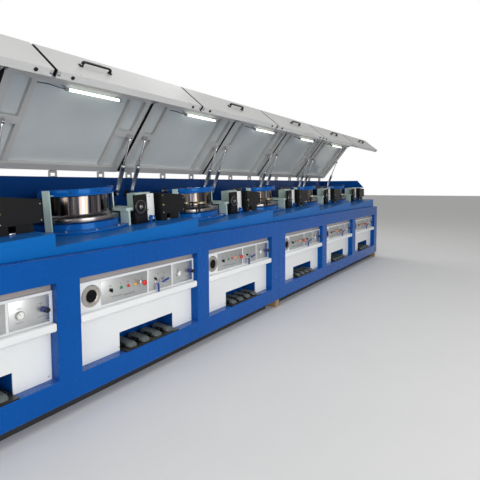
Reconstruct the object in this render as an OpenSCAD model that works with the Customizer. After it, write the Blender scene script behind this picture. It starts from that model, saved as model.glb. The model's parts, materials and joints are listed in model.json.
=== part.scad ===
// Straight-line wire drawing machine: two beds of three drawing bays each.
// Origin: middle of the machine's footprint on the floor. X runs along the line, the
// operator stands on the -Y side, Z is up. All sizes are in millimetres.

/* [Beds] */
// Length of one drawing bay along the line
bay_pitch = 1514; // [1500:1:1700]
// Depth of the beds from front face to rear face
bed_depth = 1300; // [1290:5:1500]
// Height of the front top edge above the floor
bed_top_z = 1090; // [1040:5:1150]
// Height of the beds' underside above the floor
floor_gap = 100; // [60:5:140]
// Visible joint between the two beds
bed_joint = 4; // [2:1:8]
// Width of each window opening
window_w = 1273; // [1240:1:1290]
// Width of the thin posts between windows of one bed
post_w = 178; // [150:1:200]
// Height of the window sill above the floor
sill_z = 265; // [240:1:300]
// Height of the window head above the floor
head_z = 923; // [900:1:980]
// Depth of the window recesses
recess_d = 90; // [85:1:140]

/* [Table and rear wall] */
// Width of the low front shelf that the lids close over
shelf_w = 80; // [70:1:110]
// Height of the tilted table above the shelf at a drum's axis
deck_rise = 97; // [90:1:115]
// Distance from the front face to the rear wall
rear_wall_y = 1200; // [1190:5:1215]
// Thickness of the rear wall
rear_wall_t = 70; // [50:5:75]
// Height of the rear wall's top above the floor
rear_wall_z = 1645; // [1600:5:1655]
// Thickness of the end guards
end_guard_t = 6; // [4:1:7]
// Distance from the front face to the end guards' front edge
guard_y = 295; // [280:5:310]
// Distance from the front face to the end guards' upper corner
guard_top_y = 435; // [400:5:460]

/* [Lids] */
// Distance of the lid hinges from the front face
hinge_y = 1255; // [1240:5:1265]
// Height of the lid hinges above the floor
hinge_z = 1695; // [1690:5:1720]
// Angle that the lids stand open
lid_open = 51; // [30:1:60]
// Height of the lid's top skin above the hinge when shut
lid_rise = 27; // [20:1:40]
// Depth of the lid's frame
lid_frame_h = 50; // [40:1:60]
// Thickness of the lid's skin
lid_skin = 6; // [3:1:8]
// Distance from the front face to the bend between lid top and lid slope
lid_bend_y = 245; // [180:5:300]
// Distance of the lip behind the front face
lip_inset = 4; // [2:1:8]
// Height of the upper edge of the lip above the floor when shut
lip_top_z = 1452; // [1400:1:1500]
// Clearance between the shut lip and the shelf
lip_clear = 14; // [12:1:20]
// Width of the return flange along the lip
flange_w = 55; // [40:1:62]
// Height of the return flange
flange_h = 28; // [20:1:40]
// Clearance between a lid's end and the bay's end
lid_gap = 14; // [12:1:20]
// Width of the border rails of a lid
rail_w = 70; // [50:1:80]
// Distance of a lid's inner rib from the bay's end
rib_x = 260; // [200:5:300]
// Width of a lid's inner rib
rib_w = 45; // [30:1:60]
// Distance of the lamp tube in a shut lid from the front face
lamp_y = 370; // [350:5:400]
// Distance of the lamp tube from the left end of the bay
lamp_x = 512; // [480:1:540]
// Length of the lamp tube
lamp_len = 590; // [550:5:600]

/* [Lid struts] */
// Distance of each strut from the bay's end
strut_inset = 104; // [100:1:130]
// Distance of the lower strut pivots from the front face
strut_foot_y = 1120; // [1110:5:1130]
// Height of the lower strut pivots above the floor
strut_foot_z = 1465; // [1450:5:1480]
// Distance from the lid hinge to the upper strut pivot, along the lid
strut_head_y = 520; // [500:5:540]
// Distance of the upper strut pivot below the lid hinge when shut
strut_head_z = 60; // [54:1:70]
// Radius of the strut cylinder
strut_r = 25; // [18:1:30]
// Length of the strut cylinder
strut_len = 300; // [290:1:310]
// Radius of the strut rod
rod_r = 9; // [6:1:12]
// Length of the strut rod from its inner end to its eye
rod_len = 350; // [330:1:355]
// Width of the strut eyes
eye_w = 22; // [16:1:24]
// Radius of the strut eyes
eye_r = 22; // [18:1:24]
// Radius of the strut pins
pin_r = 8; // [6:1:10]

/* [Drums] */
// Distance of each drum from the left end of its bay
drum_x = 670; // [640:5:700]
// Distance of the drums from the front face
drum_y = 800; // [780:5:805]
// Lean of the table and the drums along the line
drum_lean = 3.5; // [2:0.5:4.5]
// Radius of the drum's working face
drum_r = 300; // [260:5:305]
// Height of the drum above its flange
drum_h = 208; // [180:1:212]
// Radius of the drum's lower flange
drum_flange_r = 385; // [350:5:388]
// Height of the drum's lower flange
drum_flange_h = 40; // [30:1:42]
// Height of the drum's underside above the table
// Height of the drum's underside above the table
drum_rise = 79; // [75:1:90]
drum_gap = 6; // [5:0.5:8]
// Radius of the collar under the drum
collar_r = 378; // [340:1:384]
// Radius of the round base plate on the table
base_r = 470; // [430:5:480]
// Height of the round base plate
base_h = 20; // [15:1:30]
// Inner radius of the hood band round the drum's top
hood_r = 340; // [334:1:344]
// Thickness of the hood band
hood_t = 6; // [4:1:8]
// Height of the hood band
hood_h = 57; // [40:1:60]
// Height of the hood band's lower edge above the drum's underside
hood_rise = 217; // [215:1:225]

/* [Die stands] */
// Distance of the stand's upright from the drum's axis along the line
upright_x = 255; // [252:1:265]
// Thickness of the upright
upright_t = 20; // [12:1:25]
// Depth of the upright
upright_d = 108; // [90:1:110]
// Distance of the upright and the stand's shelf from the front face
stand_y = 392; // [391:1:396]
// Height of the shelf's underside above the table
stand_shelf_rise = 130; // [128:1:132]
// Thickness of the shelf
stand_shelf_t = 25; // [22:1:30]
// Distance of the die casting from the drum's axis along the line
casting_x = 400; // [390:1:410]
// Length of the die casting
casting_len = 185; // [170:1:189]
// Distance of the die casting from the front face
casting_y = 450; // [440:1:460]
// Depth of the die casting
casting_d = 112; // [105:1:120]
// Height of the die casting's underside above the table
casting_rise = 102; // [95:1:110]
// Height of the die casting
casting_h = 171; // [160:1:180]
// Distance of the soap box from the drum's axis along the line
soap_x = 590; // [588:1:600]
// Length of the soap box
soap_len = 315; // [300:1:320]
// Distance of the soap box from the front face
soap_y = 300; // [290:1:310]
// Depth of the soap box
soap_d = 300; // [280:1:310]
// Height of the soap box's underside above the table
soap_rise = 60; // [50:1:66]
// Height of the soap box at its die end
soap_h = 203; // [190:1:215]
// Drop of the soap box's top from its die end to its inlet end
soap_drop = 43; // [35:1:65]
// Thickness of the soap box's walls
soap_wall = 8; // [5:1:12]
// Height of the wire above the table between die and drum
wire_rise = 144; // [142:1:150]
// Radius of the guide disc
disc_r = 62; // [50:1:66]
// Radius of the guide pulley behind the wire
rear_pulley_r = 46; // [40:1:50]
// Radius of the guide pulley in front of the wire
front_pulley_r = 76; // [65:1:80]

/* [Control panels] */
// Height of the ledge's underside above the floor
ledge_z = 604; // [590:1:620]
// Height of the ledge
ledge_h = 57; // [40:1:60]
// Height of the header strip under the window head
header_h = 51; // [40:1:60]
// Distance of the control panel's face behind the front face
panel_inset = 50; // [40:1:60]
// Thickness of the instrument plates
plate_t = 4; // [3:1:6]
// Thickness of the kick panel
kick_t = 8; // [5:1:10]
// Left edge of the pedal opening from the window's left side
niche_x = 398; // [380:1:420]
// Width of the pedal opening
niche_w = 610; // [590:1:640]
// Height of the pedal opening above the sill
niche_h = 144; // [130:1:160]
// Depth of the pedal opening behind the recess
niche_d = 190; // [150:5:240]
// Width of a foot pedal
pedal_w = 104; // [90:1:112]
// Distance between foot pedals
pedal_pitch = 142; // [130:1:146]

/* [Hidden] */
$fn = 64;

bays_per_bed = 3;
beds = 2;
bays = bays_per_bed * beds;
bed_len = bays_per_bed * bay_pitch;
line_len = beds * bed_len;
front = -bed_depth / 2;
// Gap between two pieces that seat on each other
seat = 0.3;
// Gap between a panel and the window opening it fills
fit = 1;
// Overlap that lets a cut run past the face it starts from
over = 1;

deck_z = bed_top_z + deck_rise;
lid_top_z = hinge_z + lid_rise;
lid_inner_z = lid_top_z - lid_frame_h;
lip_bottom_z = bed_top_z + lip_clear;
lid_rear_y = hinge_y - 33;
// Depth of the wire behind the front face: it meets the drums on their front side
wire_y = drum_y - drum_r;
// Height of the wire above the floor where it enters the die
wire_z = deck_z + (casting_x + casting_len) * sin(drum_lean) + wire_rise * cos(drum_lean);
// Height of the hood band's upper edge above the table
hood_top = drum_rise + hood_rise + hood_h;
// Half the thickness of the wire's way through the guards and boxes
slot_r = 14;

frame_blue = [0.04, 0.30, 0.64];
table_blue = [0.16, 0.48, 0.80];
wall_blue = [0.05, 0.14, 0.36];
panel_white = [0.90, 0.91, 0.90];
lid_white = [0.86, 0.88, 0.86];
mint = [0.74, 0.82, 0.77];
steel = [0.72, 0.73, 0.75];
black = [0.06, 0.06, 0.07];
pedal_grey = [0.55, 0.60, 0.57];
timber = [0.45, 0.33, 0.22];

// Middle of bay i along the line, counted from 0 at the left end
function bay_mid(i) = -line_len / 2 + (i + 0.5) * bay_pitch;
// Left end of bay i
function bay_left(i) = -line_len / 2 + i * bay_pitch;
// Middle of bed b
function bed_mid(b) = -line_len / 2 + (b + 0.5) * bed_len;
// Left side of the window in bay i
function window_left(i) = bed_mid(floor(i / bays_per_bed))
    + (i % bays_per_bed - (bays_per_bed - 1) / 2) * (window_w + post_w) - window_w / 2;
// Corner of a path a, b, c moved sideways by t on the left of its direction
function side_step(a, b, c, t) =
    let (u = (b - a) / norm(b - a), v = (c - b) / norm(c - b),
         nu = [-u[1], u[0]], nv = [-v[1], v[0]])
    b + t * (nu + nv) / (1 + nu * nv);
// Point p turned by angle a
function turned(p, a) = [p[0] * cos(a) - p[1] * sin(a), p[0] * sin(a) + p[1] * cos(a)];

// A box given by its lowest corner, measured from the front face, and its size
module block(x, y, z, size) {
    translate([x, front + y, z]) cube(size);
}

// A round bar that points at the operator, from depth y towards the front
module stud(x, y, z, r, len) {
    translate([x, front + y, z]) rotate([90, 0, 0]) cylinder(r = r, h = len);
}

// Extrudes an outline drawn in depth and height along the line
module along_line(x, len) {
    translate([x, front, 0]) rotate([90, 0, 90]) linear_extrude(len) children();
}

// Swings a piece drawn with its lid shut to the lid's standing-open place
module lid_swing() {
    translate([0, front + hinge_y, hinge_z]) rotate([-lid_open, 0, 0])
        translate([0, -front - hinge_y, -hinge_z]) children();
}

// Extrudes an outline drawn along the line and in height from depth y backwards
module across(y, len) {
    translate([0, front + y + len, 0]) rotate([90, 0, 0]) linear_extrude(len) children();
}

// Height of the tilted table above the floor at x from the left end of a bay
function deck_height(x) = deck_z + (x - drum_x) * tan(drum_lean);

// Keeps tilted faces on the table from overlapping it by rounding
deck_gap = 0.05;

// Places a piece drawn on a level table: x counts from the drum's axis, height from the table
module on_deck(i) {
    translate([bay_left(i) + drum_x, 0, deck_z + deck_gap]) rotate([0, -drum_lean, 0]) children();
}

// Places a piece drawn round a drum's axis, with height 0 at the table
module on_axis(i) {
    on_deck(i) translate([0, front + drum_y, 0]) children();
}

module bed(b) {
    left = bed_mid(b) - bed_len / 2 + bed_joint / 2;
    color(frame_blue) difference() {
        block(left, 0, floor_gap, [bed_len - bed_joint, bed_depth, bed_top_z - floor_gap]);
        for (j = [0:bays_per_bed - 1]) {
            wx = window_left(b * bays_per_bed + j);
            block(wx, -over, sill_z, [window_w, recess_d + over, head_z - sill_z]);
            block(wx, bed_depth - recess_d, sill_z, [window_w, recess_d + over, head_z - sill_z]);
            block(wx + niche_x, recess_d - over, sill_z, [niche_w, niche_d + over, niche_h]);
        }
    }
}

module bed_left() {
    bed(0);
}

module bed_right() {
    bed(1);
}

// The top of each bay's table rises towards the inlet and steps down at the next bay
module tables() {
    half_joint = bed_joint / 2;
    color(table_blue) for (b = [0:beds - 1]) {
        left = bed_mid(b) - bed_len / 2;
        top = [for (j = [0:bays_per_bed - 1]) for (side = [0, 1])
            let (x = side * bay_pitch + (j + side == 0 ? half_joint : 0)
                - (j + side == bays_per_bed ? half_joint : 0))
            [left + j * bay_pitch + x, deck_height(x)]];
        across(shelf_w, rear_wall_y - seat - shelf_w)
            polygon(concat([[left + half_joint, bed_top_z]], top,
                [[left + bed_len - half_joint, bed_top_z]]));
    }
}

module rear_walls() {
    color(wall_blue) for (b = [0:beds - 1])
        block(bed_mid(b) - bed_len / 2 + bed_joint / 2, rear_wall_y, bed_top_z,
            [bed_len - bed_joint, rear_wall_t, rear_wall_z - bed_top_z]);
}

// Outline of a shut lid's outside, from its rear edge over the top to the lip's lower edge
lid_path = [[lid_rear_y, lid_top_z], [lid_bend_y, lid_top_z],
    [lip_inset, lip_top_z], [lip_inset, lip_bottom_z]];

// Outline of an end guard whose lower edge lies at height z
module guard_outline(z) {
    front_z = lip_top_z + 40;
    polygon([[guard_y, z], [rear_wall_y - 2 * seat, z], [rear_wall_y - 2 * seat, rear_wall_z],
        [guard_top_y, rear_wall_z], [guard_y, front_z]]);
}

// The left guard lets the finished wire out, the right one leaves room for the soap box
module end_guards() {
    left_x = -line_len / 2 + bed_joint / 2;
    way_r = 40;
    room = 12;
    color(frame_blue) {
        difference() {
            along_line(left_x, end_guard_t)
                guard_outline(deck_height(bed_joint / 2 + end_guard_t) + seat);
            translate([left_x - over, front + wire_y, wire_z]) rotate([0, 90, 0])
                cylinder(r = way_r, h = end_guard_t + 2 * over);
        }
        difference() {
            along_line(-left_x - end_guard_t, end_guard_t)
                guard_outline(deck_height(bay_pitch) + seat);
            block(-left_x - end_guard_t - over, guard_y - over, bed_top_z,
                [end_guard_t + 2 * over, soap_y + soap_d + room - guard_y + over,
                    lip_top_z + 40 - bed_top_z]);
        }
    }
}

module base_skids() {
    skid_w = 120;
    skid_in = 110;
    end_in = 150;
    color(black) for (b = [0:beds - 1]) for (y = [skid_in, bed_depth - skid_in - skid_w])
        block(bed_mid(b) - bed_len / 2 + end_in, y, 0,
            [bed_len - 2 * end_in, skid_w, floor_gap]);
}

module packing_blocks() {
    block_w = 90;
    block_in = 20;
    ends = [-line_len / 2 + block_in, -block_w / 2, line_len / 2 - block_in - block_w];
    color(timber) for (x = ends)
        block(x, block_in, 0, [block_w, bed_depth - 2 * block_in, floor_gap]);
}

module control_panels() {
    color(panel_white) for (i = [0:bays - 1]) {
        block(window_left(i) + fit, panel_inset, ledge_z + ledge_h,
            [window_w - 2 * fit, recess_d - panel_inset, head_z - ledge_z - ledge_h - header_h]);
        block(window_left(i) + fit, panel_inset + 12, head_z - header_h,
            [window_w - 2 * fit, recess_d - panel_inset - 12, header_h]);
    }
}

// Instrument plates share the room between the vent ring and the window's right side
plates_x = 206;
plates_end = 27;
plate_gap = 19;
plate_rise = 14;
plate_h = 180;
plate_shares = [0.463, 0.274, 0.263];
plate_room = window_w - plates_x - plates_end - 2 * plate_gap;
plate_widths = plate_shares * plate_room;
plate_lefts = [plates_x, plates_x + plate_widths[0] + plate_gap,
    plates_x + plate_widths[0] + plate_widths[1] + 2 * plate_gap];

module instrument_plates() {
    color(mint) for (i = [0:bays - 1]) for (p = [0:2])
        block(window_left(i) + plate_lefts[p], panel_inset - plate_t,
            ledge_z + ledge_h + plate_rise, [plate_widths[p], plate_t, plate_h]);
}

// Distance of a control from the window's left side, as a share of its plate's width
function control_x(p, share) = plate_lefts[p] + share * plate_widths[p];

// Height of the row of switches above the ledge
switch_z = 112;
// Share of the plate's width, radius and length of each switch
switches = [[0.181, 13, 20], [0.399, 12, 14], [0.554, 12, 14], [0.703, 12, 14]];
stop_share = 0.877;
knob_share = 0.241;
lever_shares = [0.307, 0.628];
gauge_share = 0.242;
regulator_share = 0.856;

module panel_controls() {
    face = panel_inset - plate_t;
    collar_t = 5;
    switch_collar_r = 17;
    stop_stem = [16, 16];
    stop_head = [22, 14];
    knob = [10, 24];
    knob_drop = 6;
    valve = [14, 18];
    valve_drop = 30;
    handle_size = [16, 10, 76];
    handle_drop = 96;
    gauge = [24, 20];
    gauge_drop = 8;
    regulator = [18, 26];
    regulator_cap = [14, 12];
    regulator_drop = 10;
    color("red") for (i = [0:bays - 1]) {
        x0 = window_left(i);
        z0 = ledge_z + ledge_h + switch_z;
        for (s = switches) {
            stud(x0 + control_x(0, s[0]), face, z0, switch_collar_r, collar_t);
            stud(x0 + control_x(0, s[0]), face - collar_t, z0, s[1], s[2]);
        }
        stud(x0 + control_x(0, stop_share), face, z0, stop_stem[0], stop_stem[1]);
        stud(x0 + control_x(0, stop_share), face - stop_stem[1], z0, stop_head[0], stop_head[1]);
        stud(x0 + control_x(1, knob_share), face, z0 - knob_drop, knob[0], knob[1]);
        for (share = lever_shares) {
            x = x0 + control_x(1, share);
            stud(x, face, z0 - valve_drop, valve[0], valve[1]);
            block(x - handle_size[0] / 2, face - valve[1] - handle_size[1], z0 - handle_drop,
                handle_size);
        }
        stud(x0 + control_x(2, gauge_share), face, z0 - gauge_drop, gauge[0], gauge[1]);
        stud(x0 + control_x(2, regulator_share), face, z0 - regulator_drop,
            regulator[0], regulator[1]);
        stud(x0 + control_x(2, regulator_share), face - regulator[1], z0 - regulator_drop,
            regulator_cap[0], regulator_cap[1]);
    }
}

module vent_rings() {
    ring_x = 119;
    ring_z = 105;
    ring_r = 80;
    ring_h = 10;
    bore_r = 46;
    floor_t = 3;
    color(steel) for (i = [0:bays - 1]) difference() {
        stud(window_left(i) + ring_x, panel_inset, ledge_z + ledge_h + ring_z, ring_r, ring_h);
        stud(window_left(i) + ring_x, panel_inset - floor_t, ledge_z + ledge_h + ring_z,
            bore_r, ring_h);
    }
}

module ledges() {
    color(panel_white) for (i = [0:bays - 1])
        block(window_left(i) + fit, 2, ledge_z,
            [window_w - 2 * fit, recess_d - 2, ledge_h]);
}

module kick_panels() {
    color(panel_white) for (i = [0:bays - 1]) difference() {
        block(window_left(i) + fit, recess_d - kick_t, sill_z,
            [window_w - 2 * fit, kick_t, ledge_z - sill_z]);
        block(window_left(i) + niche_x, recess_d - kick_t - over, sill_z - over,
            [niche_w, kick_t + 2 * over, niche_h + over]);
    }
}

pedal_plate_t = 10;

module pedal_plates() {
    plate_y = 4;
    rear_gap = 10;
    color(black) for (i = [0:bays - 1])
        block(window_left(i) + niche_x + fit, plate_y, sill_z,
            [niche_w - 2 * fit, recess_d + niche_d - plate_y - rear_gap, pedal_plate_t]);
}

module foot_pedals() {
    nose_r = 17;
    nose_y = 40;
    heel_y = recess_d + 120;
    heel_h = 46;
    base = sill_z + pedal_plate_t;
    color(pedal_grey) for (i = [0:bays - 1]) for (k = [0:3])
        along_line(window_left(i) + niche_x + niche_w / 2 + (k - 1.5) * pedal_pitch
            - pedal_w / 2, pedal_w) {
            translate([nose_y, base + nose_r]) circle(r = nose_r);
            polygon([[nose_y, base], [heel_y, base], [heel_y, base + heel_h],
                [nose_y, base + 2 * nose_r]]);
        }
}

module rear_panels() {
    panel_out = 20;
    color(panel_white) for (i = [0:bays - 1])
        block(window_left(i) + fit, bed_depth - recess_d, sill_z,
            [window_w - 2 * fit, recess_d - panel_out, head_z - sill_z - fit]);
}

module drum_bases() {
    hub_r = 60;
    color(frame_blue) for (i = [0:bays - 1]) {
        difference() {
            on_axis(i) cylinder(r = base_r, h = base_h, $fn = 96);
            on_deck(i) block(-base_r, rear_wall_y - 2 * seat, -over,
                [2 * base_r, base_r, base_h + 2 * over]);
        }
        on_axis(i) cylinder(r = collar_r, h = drum_rise - drum_gap, $fn = 96);
        on_axis(i) cylinder(r = hub_r, h = drum_rise - seat);
    }
}

module drum(i) {
    foot_h = 16;
    rim_h = 14;
    rim_t = 24;
    taper = 5;
    cap_in = 12;
    cap_r = 70;
    face_z = drum_flange_h;
    top_z = drum_flange_h + drum_h;
    color(steel) on_axis(i) translate([0, 0, drum_rise]) {
        cylinder(r = drum_flange_r, h = drum_flange_h, $fn = 96);
        translate([0, 0, face_z]) cylinder(r1 = drum_r + foot_h, r2 = drum_r, h = foot_h, $fn = 96);
        difference() {
            translate([0, 0, face_z])
                cylinder(r1 = drum_r, r2 = drum_r - taper, h = drum_h, $fn = 96);
            translate([0, 0, top_z - cap_in])
                cylinder(r = drum_r - rim_t, h = cap_in + over, $fn = 96);
        }
        translate([0, 0, top_z - cap_in - over]) cylinder(r = cap_r, h = rim_h + over);
    }
}

module drum_hoods() {
    left_end = 188;
    right_end = 352;
    color(frame_blue) for (i = [0:bays - 1])
        on_axis(i) translate([0, 0, drum_rise + hood_rise]) difference() {
            cylinder(r = hood_r + hood_t, h = hood_h, $fn = 96);
            translate([0, 0, -over]) cylinder(r = hood_r, h = hood_h + 2 * over, $fn = 96);
            translate([0, 0, -over]) linear_extrude(hood_h + 2 * over)
                polygon([[0, 0], [2 * hood_r * cos(right_end), 2 * hood_r * sin(right_end)],
                    [2 * hood_r, 2 * hood_r], [-2 * hood_r, 2 * hood_r],
                    [2 * hood_r * cos(left_end), 2 * hood_r * sin(left_end)]]);
        }
}

// Upright posts hold the hood band: one on the die stand's shelf carries its end, and one on the
// base plate reaches it with an arm
module hood_posts() {
    post_t = 12;
    post_len = 62;
    post_turn = [-25, 205];
    flange_gap = 12;
    arm_h = 8;
    top_gap = 2;
    band_r = hood_r + hood_t + seat;
    rear_r = drum_flange_r + flange_gap;
    shelf_top = stand_shelf_rise + stand_shelf_t;
    color(mint) for (i = [0:bays - 1]) {
        on_axis(i) rotate([0, 0, post_turn[0]])
            translate([hood_r + hood_t - post_t, -post_len / 2, shelf_top])
                cube([post_t, post_len, drum_rise + hood_rise - seat - shelf_top]);
        on_axis(i) rotate([0, 0, post_turn[1]]) {
            translate([rear_r, -post_len / 2, base_h])
                cube([post_t, post_len, hood_top - top_gap - base_h]);
            translate([band_r, -post_len / 2, drum_rise + hood_rise + arm_h])
                cube([rear_r + post_t - band_r, post_len, arm_h]);
        }
    }
}

// Depth of the black guide plate's face and its place from the drum's axis along the line
guide_y = 366;
guide_x = 312;
guide_w = 150;
guide_h = 264;

// Room that the round base plate and the drum need in the pieces of a die stand
module base_cut() {
    shelf_gap = 25;
    translate([0, front + drum_y, -over]) {
        cylinder(r = base_r + seat, h = base_h + over + seat, $fn = 96);
        translate([0, 0, stand_shelf_rise])
            cylinder(r = drum_r + shelf_gap, h = stand_shelf_t + 2 * over, $fn = 96);
    }
}

module die_stands() {
    shelf_x = 232;
    shelf_d = 298;
    shelf_bore_r = 5;
    leg_in = 20;
    strip_rise = 22;
    strip_w = 86;
    casting_end = casting_x + casting_len;
    strip_x = guide_x + guide_w + seat;
    color(mint) for (i = [0:bays - 1]) on_deck(i) difference() {
        union() {
            block(upright_x, stand_y, 0, [upright_t, upright_d, stand_shelf_rise + over]);
            block(shelf_x, stand_y, stand_shelf_rise,
                [casting_x - shelf_x + over, shelf_d, stand_shelf_t]);
            block(casting_x, casting_y, casting_rise, [casting_len, casting_d, casting_h]);
            block(strip_x, casting_y + leg_in, 0,
                [casting_end - leg_in - strip_x, casting_d - 2 * leg_in, casting_rise + over]);
            block(strip_x, guide_y, strip_rise,
                [strip_w, casting_y - guide_y + over, guide_h - strip_rise]);
        }
        base_cut();
        translate([casting_x, front + wire_y, wire_rise]) rotate([0, 90, 0])
            cylinder(r = slot_r, h = casting_len + over);
        translate([shelf_x - over, front + wire_y, wire_rise]) rotate([0, 90, 0])
            cylinder(r = shelf_bore_r, h = casting_x - shelf_x + 2 * over);
    }
}

module soap_boxes() {
    left_leg_w = 75;
    right_leg_x = 125;
    right_leg_w = 125;
    leg_in = 20;
    chamfer = 12;
    top = soap_rise + soap_h;
    end_x = soap_x + soap_len;
    end_top = top - soap_drop;
    color(black) for (i = [0:bays - 1]) difference() {
        on_deck(i) {
            difference() {
                across(soap_y, soap_d)
                    polygon([[soap_x, soap_rise], [end_x, soap_rise], [end_x, end_top - chamfer],
                        [end_x - chamfer, end_top + chamfer * soap_drop / soap_len],
                        [soap_x, top]]);
                across(soap_y + soap_wall, soap_d - 2 * soap_wall)
                    polygon([[soap_x + soap_wall, soap_rise + soap_wall],
                        [end_x - soap_wall, soap_rise + soap_wall],
                        [end_x - soap_wall, 2 * top], [soap_x + soap_wall, 2 * top]]);
            }
            block(soap_x, soap_y + leg_in, 0,
                [left_leg_w, soap_d - 2 * leg_in, soap_rise + over]);
            block(soap_x + right_leg_x, soap_y + leg_in, 0,
                [right_leg_w, soap_d - 2 * leg_in, soap_rise + over]);
        }
        translate([bay_left(i) + drum_x + casting_x + casting_len, front + wire_y, wire_z])
            rotate([0, 90, 0]) cylinder(r = slot_r, h = soap_len + 4 * leg_in);
    }
}

module guide_discs() {
    plate_d = 24;
    disc_x = 53;
    disc_rise = 12;
    disc_t = 18;
    hub_r = 22;
    hub_t = 14;
    block_w = 140;
    block_end_y = 545;
    color(black) for (i = [0:bays - 1]) on_deck(i) difference() {
        union() {
            block(guide_x, guide_y, 0, [guide_w, plate_d, guide_h]);
            block(guide_x, guide_y + plate_d - over, 0,
                [block_w, block_end_y - guide_y - plate_d + over, casting_rise - seat]);
            stud(guide_x + disc_x, guide_y + over, wire_rise + disc_rise, disc_r, disc_t + over);
            stud(guide_x + disc_x, guide_y - disc_t + over, wire_rise + disc_rise,
                hub_r, hub_t + over);
        }
        base_cut();
    }
}

// Level pulleys lead the wire from the drum of the next bay, on bars from the soap box
module guide_pulleys() {
    first_bay = 1;
    disc_t = 18;
    groove = 4;
    rear_shaft_r = 9;
    front_shaft_r = 14;
    shaft_low = 112;
    shaft_up = 14;
    bar_low = 38;
    bar_w = 24;
    bar_t = 12;
    rear_pulley = [bay_pitch + 352, wire_y + rear_pulley_r - groove, rear_pulley_r, rear_shaft_r];
    front_pulley = [bay_pitch + 453, wire_y - front_pulley_r + groove, front_pulley_r,
        front_shaft_r];
    bar_z = wire_z - bar_low;
    bar_x = drum_x + (soap_x + soap_len - (bar_z - deck_z) * sin(drum_lean)) / cos(drum_lean)
        + seat;
    color(steel) for (i = [first_bay:bays - 2]) for (p = [rear_pulley, front_pulley]) {
        translate([bay_left(i) + p[0], front + p[1], wire_z - disc_t / 2])
            cylinder(r = p[2], h = disc_t);
        translate([bay_left(i) + p[0], front + p[1], wire_z - shaft_low])
            cylinder(r = p[3], h = shaft_low + shaft_up);
        block(bay_left(i) + bar_x, p[1] - bar_w / 2, bar_z,
            [p[0] - bar_x + bar_w / 2, bar_w, bar_t]);
    }
}

// Places of each lid's hinges from the middle of its bay
hinge_shift = [-560, 0, 560];
hinge_pin_r = 7;
hinge_pin_clear = 0.05;
knuckle_r = 13;
knuckle_len = 50;

module hinge_brackets() {
    cheek_t = 10;
    cheek_d = 24;
    cheek_gap = 5;
    color(steel) for (i = [0:bays - 1]) for (x = hinge_shift) {
        xc = bay_mid(i) + x;
        half = knuckle_len / 2 + cheek_gap;
        translate([xc - half - over, front + hinge_y, hinge_z]) rotate([0, 90, 0])
            cylinder(r = hinge_pin_r, h = 2 * (half + over));
        for (cheek_x = [xc - half - cheek_t, xc + half]) {
            block(cheek_x, hinge_y - cheek_d / 2, rear_wall_z,
                [cheek_t, cheek_d, hinge_z - rear_wall_z]);
            translate([cheek_x, front + hinge_y, hinge_z]) rotate([0, 90, 0])
                cylinder(r = cheek_d / 2, h = cheek_t);
        }
        block(xc - half - over, hinge_y - cheek_d / 2, rear_wall_z, [2 * (half + over), cheek_d, 8]);
    }
}

// Places of the two struts of bay i along the line, with the side on which their ears sit
function strut_places(i) = [
    [bay_mid(i) - bay_pitch / 2 + strut_inset, 1],
    [bay_mid(i) + bay_pitch / 2 - strut_inset, -1]];

ear_t = 8;
ear_clear = 1;
pin_clear = 0.3;

// Thickness of the bolted plate behind each strut bracket
pad_t = 8;

module strut_brackets() {
    ear_r = 18;
    pin_out = 6;
    color(steel) for (i = [0:bays - 1]) for (p = strut_places(i)) {
        ear_x = p[0] + p[1] * (eye_w / 2 + ear_clear + ear_t / 2) - ear_t / 2;
        translate([ear_x, front + strut_foot_y, strut_foot_z]) rotate([0, 90, 0])
            cylinder(r = ear_r, h = ear_t);
        block(ear_x, strut_foot_y, strut_foot_z - ear_r,
            [ear_t, rear_wall_y - strut_foot_y - pad_t / 2, 2 * ear_r]);
        block(p[0] - 30, rear_wall_y - pad_t, strut_foot_z - 40, [60, pad_t, 80]);
        translate([p[0] - p[1] * (eye_w / 2 + pin_out), front + strut_foot_y, strut_foot_z])
            rotate([0, p[1] * 90, 0])
                cylinder(r = pin_r, h = eye_w + pin_out + ear_clear + over);
    }
}

// The struts are drawn along +Z from their lower pivot and then laid in place
strut_head = turned([-strut_head_y, -strut_head_z], -lid_open);
strut_run = [hinge_y + strut_head[0] - strut_foot_y, hinge_z + strut_head[1] - strut_foot_z];
strut_span = norm(strut_run);
strut_tilt = atan2(strut_run[0], strut_run[1]);

module strut_place(x) {
    translate([x, front + strut_foot_y, strut_foot_z]) rotate([-strut_tilt, 0, 0]) children();
}

body_start = 30;

module strut_cylinders(i) {
    color(steel) for (p = strut_places(i)) strut_place(p[0]) difference() {
        union() {
            translate([-eye_w / 2, 0, 0]) rotate([0, 90, 0]) cylinder(r = eye_r, h = eye_w);
            translate([-eye_w / 2, -12, 0]) cube([eye_w, 24, body_start + over]);
            translate([0, 0, body_start]) cylinder(r = strut_r, h = strut_len);
        }
        translate([-eye_w, 0, 0]) rotate([0, 90, 0])
            cylinder(r = pin_r + pin_clear, h = 2 * eye_w);
        translate([0, 0, body_start + 15])
            cylinder(r = rod_r + pin_clear, h = strut_len);
    }
}

module strut_rods(i) {
    color(steel) for (p = strut_places(i)) strut_place(p[0]) translate([0, 0, strut_span]) {
        translate([0, 0, -rod_len]) cylinder(r = rod_r, h = rod_len - eye_r + 4);
        translate([-eye_w / 2, 0, 0]) rotate([0, 90, 0]) cylinder(r = eye_r, h = eye_w);
        rotate([0, -p[1] * 90, 0]) cylinder(r = pin_r, h = eye_w / 2 + 6);
    }
}

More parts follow.
